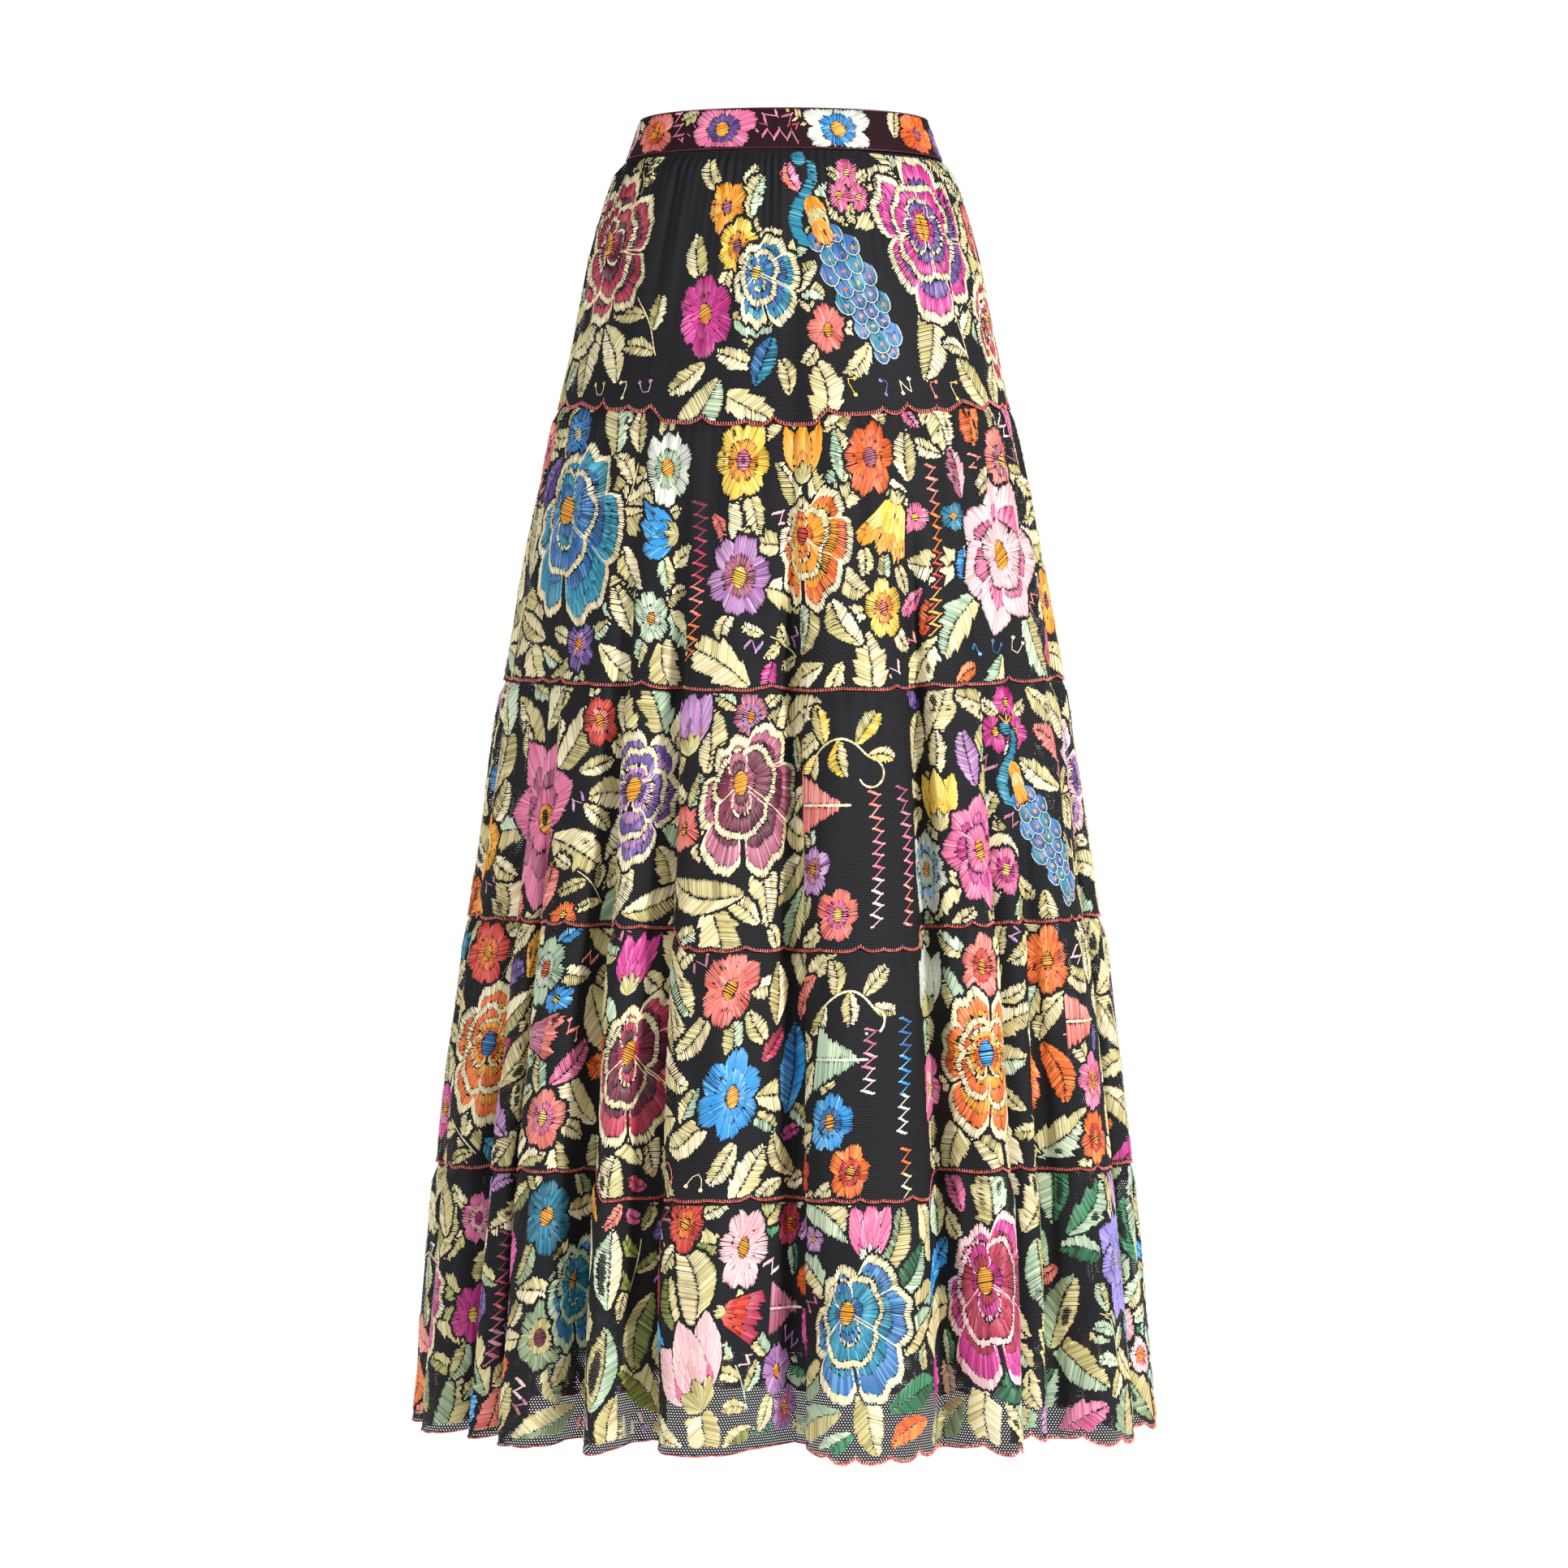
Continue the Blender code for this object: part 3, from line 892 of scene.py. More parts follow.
@dataclass
class Needle:
    """Works one motif in its own millimetres, x to the right and y up.

    The method for a motif takes its size and its flosses. Everywhere, a turn is in degrees anticlockwise
    from up, a tone runs from 0 for dark strands to 2 for light ones, and a lift counts the layers of
    thread below. Bands give each colour with the share of the way at which it ends.
    """

    rng: np.random.Generator
    pitch: float = 1.6
    thread: float = 1.55
    runs: list[StitchRun] = field(default_factory=list)

    def lay(
        self, start: Array, end: Array, shade: Floss,
        tone: float = 1.0, lift: float = 0.0, wide: float | Array = 1.0,
    ) -> None:
        """Lays one stitch from each start to each end.

        Args:
            start: the first ends.
            end: the last ends.
            shade: the floss.
            tone: the strands' tone, which is mixed a little.
            lift: the layers below.
            wide: the stitch's width as a share of the usual one, or one share for each stitch.
        """
        fit = np.hypot(*(end - start).T) > SHORTEST_WORKED_MM
        wide = np.broadcast_to(wide, fit.shape)[fit]
        start, end = start[fit], end[fit]
        count = len(start)
        if not count:
            return
        tones = np.clip(np.rint(tone + self.rng.normal(0.0, 0.45, count)), 0, 2).astype(int)
        widths = self.thread * wide * self.rng.uniform(0.78, 1.10, count)
        lifts = 0.22 + 0.24 * lift + self.rng.uniform(0.0, 0.16, count)
        self.runs.append(StitchRun(start, end, widths, lifts, tones, shade))

    def clear(self, outline: Array) -> None:
        """Takes out what an overlapping piece would cover, so that its own stitches lie flat.

        Args:
            outline: the overlapping piece's corners in order.
        """
        kept = []
        for run in self.runs:
            way = run.way()
            taken = inside(way.reshape(-1, 2), outline).reshape(way.shape[:2])
            kept.append(run.cut_back(way, taken, SHORTEST_KEPT_MM))
        self.runs = kept

    def satin(
        self, inner: Array, outer: Array, shade: Floss,
        reach: tuple[float | Array, float | Array] = (0.0, 1.0),
        tone: float = 1.0, lift: float = 0.0, ragged: float = 0.6,
    ) -> None:
        """Fills between two curves with stitches that run from one to the other.

        Args:
            inner: points of the first curve.
            outer: as many points of the second curve.
            shade: the floss.
            reach: the shares of the way at which the stitches begin and end, one or one for each point.
            tone: the strands' tone.
            lift: the layers below.
            ragged: how uneven the ends are, in millimetres.
        """
        first, last = (np.broadcast_to(np.asarray(part, float), (len(inner),)) for part in reach)
        middle = inner + (outer - inner) * (0.15 * first + 0.85 * last)[:, None]
        run = run_along(middle)
        count = max(int(round(run[-1] / self.pitch)), 2)
        places = np.linspace(0.0, run[-1], count) + self.rng.normal(0.0, 0.10 * self.pitch, count)
        near = read_along(places, run, inner)
        begin, finish = np.interp(places, run, first), np.interp(places, run, last)
        span = read_along(places, run, outer) - near
        length = np.maximum(np.hypot(*span.T), 0.1)
        parts = max(1, math.ceil(float(np.median(length * (finish - begin))) / LONGEST_SATIN_MM))
        for part in range(parts):
            uneven = [ragged if share in (0, parts) else SATIN_OVERLAP_MM for share in (part, part + 1)]
            ends = [begin + (finish - begin) * share / parts for share in (part, part + 1)]
            ends = [end + self.rng.normal(0.0, rough, count) / length for end, rough in zip(ends, uneven)]
            ends[0] = ends[0] - (SATIN_OVERLAP_MM if part else 0.0) / length
            self.lay(near + span * ends[0][:, None], near + span * ends[1][:, None], shade, tone, lift)

    def line(
        self, path: Array, shade: Floss,
        tone: float = 1.0, lift: float = 0.0, wide: float = 1.0, step: float = 4.5,
    ) -> None:
        """Works stem stitch along a path, each stitch a little over the last."""
        run = run_along(path)
        count = max(int(round(run[-1] / step)), 1)
        knots = read_along(np.linspace(0.0, run[-1], count + 1), run, path)
        over = np.diff(knots, axis=0) * 0.12
        self.lay(knots[:-1] - over, knots[1:] + over, shade, tone, lift, wide)

    def petal(
        self, turn: float, base: float, length: float, width: float, bands: Bands,
        shape: Shape = Shape.ROUND, lift: float = 0.0, tone: float = 1.0,
        at: Place = (0.0, 0.0), rim_mm: float = 0.0,
    ) -> None:
        """Works a petal in stitches that fan out from its base, over whatever it covers.

        Args:
            turn: the way it points.
            base: how far from the flower's middle the petal begins.
            length: how far from the flower's middle its tip lies.
            width: its widest.
            bands: its colours.
            shape: its outline.
            lift: the layers below.
            tone: the strands' tone.
            at: the flower's middle.
            rim_mm: the last band's width all round, in place of its share.
        """
        s = np.linspace(-1.0, 1.0, 41)
        deep = length - base
        if shape is Shape.POINTED:
            x = width / 2 * np.sign(s) * np.sin(math.pi * 0.86 * np.abs(s) ** 0.95)
            y = base + deep * (1.0 - 0.86 * np.abs(s))
        elif shape is Shape.BROAD:
            a = s * math.asin(min(width / (1.8 * length), 0.95))
            radius = length * (1.0 - 0.27 * np.abs(s) ** 2.8 - 0.05 * np.exp(-((s / 0.16) ** 2)))
            radius = radius + 0.015 * length * np.sin(7.0 * s + self.rng.uniform(0, 6))
            x, y = radius * np.sin(a), radius * np.cos(a)
        else:
            a = s * math.radians(122)
            x = width / 2 * np.sin(a) * (1 + 0.12 * np.cos(a))
            y = base + deep * (0.5 + 0.5 * np.cos(a))
        rim = np.stack((x, y), -1)
        foot = np.stack((x * (0.50 if shape is Shape.BROAD else 0.16), np.full_like(x, base)), -1)
        foot = foot + (rim - foot) * 0.04
        rim, foot = (turned(part, turn) + np.array(at) for part in (rim, foot))
        self.clear(np.concatenate((rim, foot[::-1])) if base > 0.5 else rim)
        self.fill_bands(foot, rim, bands, lift, tone, rim_mm)

    def fill_bands(
        self, foot: Array, rim: Array, bands: Bands, lift: float, tone: float, rim_mm: float
    ) -> None:
        """Fills between two curves in bands of colour, the last of an even width when rim_mm is given."""
        length = np.maximum(np.hypot(*(rim - foot).T), 0.1)
        edge = 1.0 - np.minimum(rim_mm / length, 0.7) if rim_mm else np.ones(len(rim))
        begin = np.zeros(len(rim))
        for number, (share, shade) in enumerate(bands):
            end = np.minimum(np.full(len(rim), share), edge) if number < len(bands) - 1 else np.ones(len(rim))
            if rim_mm and number == len(bands) - 2:
                end = edge
            self.satin(foot, rim, shade, (begin, end), tone + 0.25 * (number - 1), lift)
            begin = end

    def lobe(
        self, turn: float, spread: float, inner: float, outer: float, bands: Bands,
        lift: float, middles: tuple[Place, Place], rim_mm: float,
    ) -> None:
        """Works one cupped petal of a full flower, between an inner arc and a ruffled outer one.

        Args:
            turn: the way it points.
            spread: how many degrees it takes up.
            inner: the inner arc's radius.
            outer: the outer arc's radius.
            bands: its colours.
            lift: the layers below.
            middles: the inner and the outer arc's middles.
            rim_mm: the pale rim's width.
        """
        s = np.linspace(-1.0, 1.0, 33)
        a = np.radians(turn + s * spread / 2)
        radius = outer * (1.0 - 0.22 * np.abs(s) ** 3.0 - 0.05 * np.exp(-((s / 0.2) ** 2)))
        radius = radius + 0.02 * outer * np.sin(9.0 * s + self.rng.uniform(0, 6))
        way = np.stack((-np.sin(a), np.cos(a)), -1)
        rim = way * radius[:, None] + np.array(middles[1])
        foot = way * inner * (1.0 - 0.12 * s * s)[:, None] + np.array(middles[0])
        self.clear(np.concatenate((rim, foot[::-1])))
        # Each cupped petal is filled in a random tone, painted sheen that makes some petals lighter than
        # others.
        self.fill_bands(foot, rim, bands, lift, 0.8 + 0.5 * self.rng.random(), rim_mm)
        for end in (0, -1):
            side = np.stack((foot[end] + (rim[end] - foot[end]) * 0.1, rim[end]))
            inward = (rim[len(s) // 2] - rim[end]) * 0.03
            self.line(side + inward, bands[-1][1], 1.4, lift + 0.8, 0.85, 4.0)

    def disc(
        self, radius: float, shade: Floss, lift: float = 1.0, tone: float = 1.0, at: Place = (0.0, 0.0)
    ) -> None:
        """Works an oval heart in short stitches across it."""
        a = np.linspace(0.0, math.pi, 15)
        left = np.stack((-radius * np.sin(a), 1.15 * radius * np.cos(a)), -1)
        turn = self.rng.uniform(-25, 25)
        left, right = (turned(left * (side, 1), turn) + np.array(at) for side in (1, -1))
        self.clear(np.concatenate((left, right[::-1])))
        self.satin(left, right, shade, tone=tone, lift=lift, ragged=0.4)

    def knots(self, places: Array, shade: Floss, lift: float = 0.0, size: float = 2.2) -> None:
        """Works a knot at each place, as two short fat stitches across each other."""
        a = self.rng.uniform(0, 2 * math.pi, len(places))
        for more in (0.0, 1.4):
            half = np.stack((np.cos(a + more), np.sin(a + more)), -1) * size / 2
            self.lay(places - half, places + half, shade, 1.2, lift + more / 3, 1.3)

    def blossom(self, size: float, shades: Shades, petals: int = 0) -> None:
        """Works an open flower, with its petals' shade, their inner shade and its heart's."""
        petal, inner, heart = shades
        radius = size / 2
        petals = petals or (5 if size < 48 else 6)
        bands = ((1.0, petal),) if petal is inner else ((0.42, inner), (1.0, petal))
        for i, turn in enumerate(ring(self.rng, petals, 4)):
            reach = radius * self.rng.uniform(0.86, 1.08)
            width = 1.80 * radius * math.sin(math.pi / petals) * self.rng.uniform(0.94, 1.0)
            # Each petal gets a random tone, painted sheen that makes some petals lighter and some darker as
            # satin would catch the light.
            tone = 0.5 + self.rng.random()
            self.petal(turn, 0.13 * radius, reach, width, bands, Shape.BROAD, 0.4 * (i % 2), tone)
        self.disc(0.21 * radius, heart)

    def rose(self, size: float, shades: Shades) -> None:
        """Works a full rose: two rings of cupped petals with pale rims, folded petals and a heart."""
        petal, deep, rim, heart = shades
        radius = size / 2
        heart_at = (-0.10 * radius, 0.12 * radius)
        bands = ((0.40, deep), (0.80, petal), (1.0, rim))
        rings = ((6, 0.50, 1.0, 1.0, (0.0, 0.0)), (4, 0.22, 0.66, 1.06, (-0.04 * radius, 0.04 * radius)))
        for level, (count, inner, outer, overlap, middle) in enumerate(rings):
            spread, rim_mm = 360 / count * overlap * 0.98, 7.0 - 2.2 * level
            for turn in ring(self.rng, count, 7):
                reach = radius * outer * self.rng.uniform(0.90, 1.06)
                self.lobe(turn, spread, radius * inner, reach, bands, 0.8 * level, (middle, middle), rim_mm)
        bands, width = ((0.55, petal), (0.8, deep), (1.0, rim)), 0.46 * radius
        for turn, reach in ((120, 0.36), (-110, 0.38), (10, 0.34)):
            length = reach * radius
            self.petal(turn, 0.05 * radius, length, width, bands, Shape.ROUND, 1.6, 1.0, heart_at, 2.6)
        self.disc(0.14 * radius, heart, 2.4, 1.2, heart_at)

    def peony(self, size: float, shades: Shades) -> None:
        """Works a peony: cupped petals that grow wider away from a heart off its middle."""
        petal, deep, rim, heart = shades
        radius = size / 2
        heart_at = (-0.24 * radius, 0.22 * radius)
        near = (-0.16 * radius, 0.14 * radius)
        outer_petals = (
            (38, 62, 0.42, 0.92),
            (-22, 60, 0.46, 1.02),
            (96, 56, 0.40, 0.94),
            (-80, 60, 0.48, 1.05),
            (150, 58, 0.46, 1.04),
            (-140, 66, 0.48, 1.08),
        )
        inner_petals = ((-50, 118, 0.10, 0.62), (68, 116, 0.10, 0.56), (-176, 132, 0.10, 0.66))
        outer = (outer_petals, 4, ((0.45, deep), (0.82, petal), (1.0, rim)), 0.0, (near, (0.0, 0.0)), 6.6)
        inner = (inner_petals, 3, ((0.3, petal), (0.75, deep), (1.0, rim)), 0.8, (heart_at, near), 4.6)
        for petals, wobble, bands, lift, middles, rim_mm in (outer, inner):
            for turn, spread, low, high in petals:
                turn += self.rng.uniform(-wobble, wobble)
                self.lobe(turn, spread, radius * low, radius * high, bands, lift, middles, rim_mm)
        bands, width = ((0.6, deep), (0.8, petal), (1.0, rim)), 0.34 * radius
        for turn, reach in ((20, 0.46), (-165, 0.44)):
            length = reach * radius
            self.petal(turn, 0.04 * radius, length, width, bands, Shape.ROUND, 1.6, 0.8, heart_at, 2.2)
        self.disc(0.13 * radius, heart, 2.2, 1.2, heart_at)

    def lily(self, size: float, shades: Shades) -> None:
        """Works a star-shaped flower of pointed petals, in another shade towards their tips."""
        petal, tip, heart = shades
        radius = size / 2
        for level, (count, reach) in enumerate(((7, 1.0), (5, 0.46))):
            bands = ((0.62, petal), (1.0, tip)) if level == 0 else ((1.0, tip),)
            width = 1.62 * radius * reach * math.sin(math.pi / count)
            for turn in ring(self.rng, count, 6):
                length = radius * reach * self.rng.uniform(0.84, 1.10)
                self.petal(turn, 0.12 * radius, length, width, bands, Shape.POINTED, 0.8 * level)
        self.disc(0.15 * radius, heart, 1.8, 1.2)

    def tulip(self, size: float, shades: Shades) -> None:
        """Works a closed bud on a short green cup."""
        petal, inner, cup = shades
        foot = (0.0, -0.5 * size)
        for turn, lift, shade in ((-24, 0.0, inner), (24, 0.4, inner), (0, 0.8, petal)):
            bands = ((0.5, shade), (1.0, petal))
            self.petal(turn, 0.05 * size, 0.98 * size, 0.44 * size, bands, Shape.POINTED, lift, at=foot)
        for turn in (-38, 0, 38):
            self.petal(turn, 0.0, 0.34 * size, 0.2 * size, ((1.0, cup),), Shape.POINTED, 1.2, at=foot)

    def bell(self, size: float, shades: Shades) -> None:
        """Works a bell flower that hangs: a fan of upright stitches and a scalloped mouth."""
        petal, mouth, cup = shades
        s = np.linspace(-1, 1, 31)
        top = np.stack((0.20 * size * s, np.full_like(s, 0.48 * size) - 0.1 * size * s * s), -1)
        scallops = 0.12 * size * np.abs(np.sin(1.5 * math.pi * s))
        low = np.stack((0.46 * size * s, -0.40 * size + scallops), -1)
        self.satin(top, low, petal, (0.0, 0.66), 1.2, 0.0)
        self.satin(top, low, mouth, (0.62, 1.0), 1.0, 0.3, 1.4)
        for turn in (-30, 0, 30):
            at = (0.0, 0.42 * size)
            self.petal(turn, 0.0, 0.22 * size, 0.12 * size, ((1.0, cup),), Shape.POINTED, 0.8, at=at)

    def kite(self, size: float, shades: Shades) -> None:
        """Works a three-cornered sail, its point to the right, either side of a pale rib."""
        body, rib = shades
        s = np.linspace(0, 1, 25)
        spine = np.stack((size * 0.76 * (s - 0.5), 0 * s), -1)
        for side in (-1, 1):
            edge = np.stack((size * 0.76 * (s - 0.5), side * 0.5 * size * (1 - s) ** 0.9), -1)
            # The upper half is worked in lighter strands and the lower half in darker ones: painted sheen and
            # shade.
            self.satin(spine, edge, body, (0.04, 1.0), 1.0 + 0.3 * side, 0.0, 1.0)
        tail = np.array(((-0.38 * size, 0.0), (0.50 * size, 0.0)))
        self.line(tail, rib, 1.5, 1.0, 1.7, 7.0)

    def leaf(self, size: float, shades: Shades, width: float = 0.44) -> None:
        """Works a leaf in slanting stitches either side of a narrow parting, toothed on some leaves."""
        bend = self.rng.uniform(-0.15, 0.15)
        s = np.linspace(0.02, 0.98, 41)
        rib = np.stack((bend * size * np.sin(math.pi * s), size * (s - 0.5)), -1)
        plump = width * size / 2 * np.sin(math.pi * s**0.80) ** 0.85
        tooth = self.rng.choice((0.06, 0.10, 0.34))
        for side, shade in ((-1, shades[0]), (1, shades[-1])):
            teeth = np.mod(s * self.rng.uniform(3.2, 4.4) + self.rng.random(), 1.0)
            half = plump * (1.0 - 0.6 * tooth + tooth * teeth)
            edge = rib + np.stack((side * half, 0.50 * half), -1)
            gap = np.minimum(0.45 / np.maximum(np.abs(half), 0.5), 0.4)
            # Besides its own floss, one half is worked in lighter strands and the other in darker ones,
            # picked at random: painted sheen.
            tone = 1.1 + 0.35 * side * self.rng.choice((-1, 1))
            self.satin(rib, edge, shade, (gap, 1.0), tone, 0.0, 0.55)

    def add(self, other: "Needle", turn: float, at: Place) -> None:
        """Takes over another motif's stitches, turned and then moved."""
        for run in other.runs:
            start, end = (turned(part, turn) + np.array(at) for part in (run.start, run.end))
            self.runs.append(run._replace(start=start, end=end))

    def fresh(self) -> "Needle":
        """Starts a motif with the same thread."""
        return Needle(self.rng, self.pitch, self.thread)

    def grow_leaf(
        self, root: Array, turn: float, length: float, shades: Shades, width: float = 0.44, rise: float = 1.0
    ) -> None:
        """Works a leaf out from a place on a stem.

        Args:
            root: the place.
            turn: the way it points.
            length: its length.
            shades: its flosses.
            width: its width as a share of its length.
            rise: how far it is moved up or down, as a share of half its length.
        """
        leaf = self.fresh()
        leaf.leaf(length, shades, width)
        tip = turned(np.array(((0.0, length * 0.5),)), turn)[0]
        self.add(leaf, turn, (root[0] + tip[0], root[1] + tip[1] * rise))

    def spray(self, size: float, shades: Shades) -> None:
        """Works a stem with broad leaves to both sides and one at its tip."""
        leaves = 4
        s = np.linspace(0, 1, 20)
        stem = np.stack((0.10 * size * np.sin(2.2 * s), size * (0.85 * s - 0.5)), -1)
        self.line(stem[:-3], shades[-1], 0.8, 0.0, 0.9)
        for i in range(leaves):
            last = i == leaves - 1
            place = stem[-1] if last else stem[int(19 * (i + 0.4) / leaves)]
            turn = self.rng.uniform(-14, 14) if last else (-1) ** i * self.rng.uniform(40, 62)
            length = size * self.rng.uniform(0.42, 0.54)
            self.grow_leaf(place, turn, length, (shades[0], shades[i % len(shades)]), rise=0.9)

    def vine(self, size: float, shades: Shades) -> None:
        """Works a winding stem with broad leaves and a curled tendril."""
        a = np.linspace(0.0, 1.0, 30)
        stem = np.stack((size * (-0.42 + 0.62 * a), size * (-0.10 + 0.20 * np.sin(math.pi * a))), -1)
        b = np.linspace(0.0, 1.35 * math.pi, 30)
        hook = np.stack((np.sin(b), np.cos(b)), -1) * (size * (0.17 - 0.03 * b / math.pi))[:, None]
        hook = hook + stem[-1] - hook[0]
        self.line(np.concatenate((stem, hook[1:])), shades[0], 1.6, 0.0, 1.5, 4.0)
        leaves = ((2, 150, 0.42), (7, 12, 0.44), (14, 188, 0.42), (22, -38, 0.46), (28, -98, 0.34))
        for at, turn, share in leaves:
            self.grow_leaf(stem[at], turn, share * size, shades, 0.48)

    def zigzag(self, size: float, shades: Shades) -> None:
        """Works a tall zigzag of bold bars, thin returns and knots, its colour changing downwards."""
        width, step = 8.0, 5.0
        count = max(int(size / step), 2)
        turns = np.arange(count + 1)
        y = size / 2 - step * turns + self.rng.uniform(-0.6, 0.6, count + 1)
        x = np.where(turns % 2, width / 2, -width / 2) + self.rng.uniform(-1.0, 1.0, count + 1)
        corners = np.stack((x + 2.0 * np.sin(turns / 7.0), y + np.where(turns % 2, 2.4, 0.0)), -1)
        for k, shade in enumerate(shades):
            part = slice(k * count // len(shades), (k + 1) * count // len(shades) + 1)
            run = corners[part]
            bar = np.where(turns[part][:-1] % 2, 0.75, 1.75)
            self.lay(run[:-1], run[1:], shade, 1.2, 0.0, bar)
            self.lay(run - KNOT_REACH, run + KNOT_REACH, shade, 1.3, 0.6, 1.3)

    def notes(self, size: float, shades: Shades) -> None:
        """Works a row of crooked lines, each with a knot at both ends."""
        step = 24.0
        bends = (
            ((-7, -0.2), (-2, 0.5), (2, -0.5), (8, 0.3)),
            ((-8, -0.4), (-6, 0.2), (0, 0.5), (6, 0.2), (8, -0.4)),
            ((-4, -0.5), (-3, 0.5), (5, 0.3)),
            ((-7, 0.4), (-5, -0.4), (4, -0.3), (6, 0.5)),
        )
        for i in range(max(int(size / step), 1)):
            x = -size / 2 + step * (i + 0.5) + self.rng.uniform(-3, 3)
            tall = self.rng.uniform(10, 15)
            flip = self.rng.choice((-1, 1))
            shade = shades[i % len(shades)]
            bent = np.array(bends[self.rng.integers(4)]) * (0.8 * flip, tall)
            path = turned(bent, self.rng.uniform(-38, 38)) + (x, 0)
            self.line(path, shade, 1.2, 0.0, 0.62, 5.0)
            self.knots(path[[0, -1]], shade, 0.5, 3.4)

    def feather(self, at: Place, size: float, shade: Floss, spot: Floss) -> None:
        """Works one rounded feather of a tail, with a pale rim and a bright spot."""
        turn = 209
        # Each feather gets a random tone, painted sheen that makes some feathers lighter than others.
        tone = 0.5 + self.rng.random()
        self.petal(turn, 0.0, 1.75 * size, 1.22 * size, ((1.0, shade),), Shape.ROUND, 0.0, tone, at)
        a = np.radians(np.linspace(-115, 115, 9))
        arc = np.stack((0.6 * size * np.sin(a), size * (0.88 + 0.86 * np.cos(a))), -1)
        self.line(turned(arc, turn) + np.array(at), Floss.WHITE, 1.0, 0.8, 0.72, 3.6)
        self.knots(turned(np.array(((0.0, 1.1 * size),)), turn) + np.array(at), spot, 1.0, 3.8)

    def peacock(self, size: float, shades: Shades) -> None:
        """Works a plain bird: a long curved neck, a shoulder and a tail that trails to the right."""
        neck, wing, tail = shades
        rows = 9
        for row in reversed(range(rows)):
            share = (row + 0.5) / rows
            x, y = size * (-0.06 + 0.36 * share), size * (0.14 - 0.64 * share)
            wide = size * 0.23 * math.sin(math.pi * (0.22 + 0.66 * share)) ** 0.8
            across = 3 if wide > 0.17 * size else 2
            for k in range(across):
                off = (k - (across - 1) / 2) * wide / across
                off += 0.25 * wide / across * (1 if row % 2 else -1)
                at = (x + off * math.cos(0.5), y + off * math.sin(0.5))
                shade = (tail, Floss.TEAL, tail)[(row + k) % 3]
                spot = (Floss.ORANGE, Floss.SALMON, Floss.AMBER)[(row + 2 * k) % 3]
                self.feather(at, wide / across, shade, spot)
        s = np.linspace(0, 1, 31)
        spine = np.stack((size * (-0.13 - 0.05 * np.sin(5.4 * s)), size * (0.02 + 0.44 * s)), -1)
        half = size * (0.040 - 0.018 * s)
        left, right = spine - np.stack((half, 0 * half), -1), spine + np.stack((half, -0.5 * half), -1)
        self.clear(np.concatenate((left, right[::-1])))
        self.satin(left, right, neck, lift=0.4)
        for row, shade in enumerate((Floss.AMBER, Floss.STRAW, wing)):
            at = (size * (-0.11 + 0.018 * row), size * (0.27 - 0.06 * row))
            self.petal(206, 0.0, 0.15 * size, 0.10 * size, ((1.0, shade),), Shape.ROUND, 1.0, 1.0, at)
        self.disc(0.036 * size, neck, 1.0, 0.8, (-0.145 * size, 0.47 * size))
        crest = np.array((-0.14 * size, 0.49 * size))
        for turn in (-40, 0, 40):
            tip = crest + turned(np.array(((0.0, 0.07 * size),)), turn)[0]
            self.lay(crest[None], tip[None], wing, 1.0, 1.0)

    def posy(self, size: float, shades: Shades) -> None:
        """Works three small flowers with their leaves."""
        for turn, x, y in ((60, -0.3, 0.2), (-60, 0.3, 0.2), (180, 0.0, -0.4)):
            leaf = self.fresh()
            leaf.leaf(0.4 * size, (Floss.STRAW, Floss.CREAM))
            self.add(leaf, turn, (x * size, y * size))
        for x, y in ((0.0, 0.26), (0.2, -0.12), (-0.22, -0.1)):
            flower = self.fresh()
            flower.blossom(0.50 * size, (shades[0], shades[0], shades[-1]), 5)
            self.add(flower, 0.0, (x * size, y * size))


class Kind(Enum):
    """The motifs in the order that they are worked, each with the needle's method for it."""

    ROSE = "rose"
    PEONY = "peony"
    LILY = "lily"
    PEACOCK = "peacock"
    BLOSSOM = "blossom"
    TULIP = "tulip"
    BELL = "bell"
    KITE = "kite"
    POSY = "posy"
    ZIGZAG = "zigzag"
    NOTES = "notes"
    VINE = "vine"
    LEAF = "leaf"
    SPRAY = "spray"


class Motif(NamedTuple):
    """One motif: where its middle lies, its size in millimetres, its turn, and its flosses' names."""

    kind: Kind
    angle: float
    down: float
    size: float
    turn: float
    colours: str

    def shades(self) -> tuple[Floss, ...]:
        """Reads the flosses' names."""
        return tuple(Floss[name.upper()] for name in self.colours.split())


def read_motifs(table: str) -> tuple[Motif, ...]:
    """Reads a table of motifs.

    Args:
        table: a line for each motif, with its kind, angle, way down, size, turn and flosses.

    Returns:
        The motifs in the table's order.
    """
    rows = (line.split(maxsplit=5) for line in table.strip().splitlines())
    return tuple(Motif(Kind(kind), *map(float, places), colours) for kind, *places, colours in rows)


# Flowers are worked taller than they are wide, so that they look right on gathered cloth.
FLOWERS = (Kind.BLOSSOM, Kind.ROSE, Kind.PEONY, Kind.LILY, Kind.TULIP, Kind.POSY)
TALL = dict.fromkeys(FLOWERS, (0.86, 1.18))

# How many leaves come out from behind a flower, and their length as a share of its size.
FLOWER_LEAVES = {
    **{Kind.ROSE: (6, 0.56), Kind.PEONY: (5, 0.56), Kind.LILY: (5, 0.55)},
    **{Kind.BLOSSOM: (3, 0.80), Kind.TULIP: (2, 0.80)},
}

# The flosses of leaves and of small flowers, of which one is drawn each time.
PALE_LEAVES = ("cream straw", "straw cream", "cream straw", "straw mint")
HEM_LEAVES = ("cream straw", "straw cream", "sage straw", "olive straw")
DARK_LEAVES = ("cream straw", "sage straw", "green mint", "straw mint")
BRIGHT = ("salmon", "amber", "pink", "azure", "crimson", "magenta", "purple", "orange", "mauve", "teal")

# The stretches of front left bare between motifs, in degrees, for each tier.
BARE_NET = {1: (-46, -25), 2: (-21, -14), 3: (9, 27), 4: (9, 27), 5: (-150, -149)}

# The room that a filling motif needs to each side, and its size, in millimetres.
FILLINGS = ((13.0, 66.0), (9.5, 46.0), (7.0, 34.0), (5.0, 20.0))

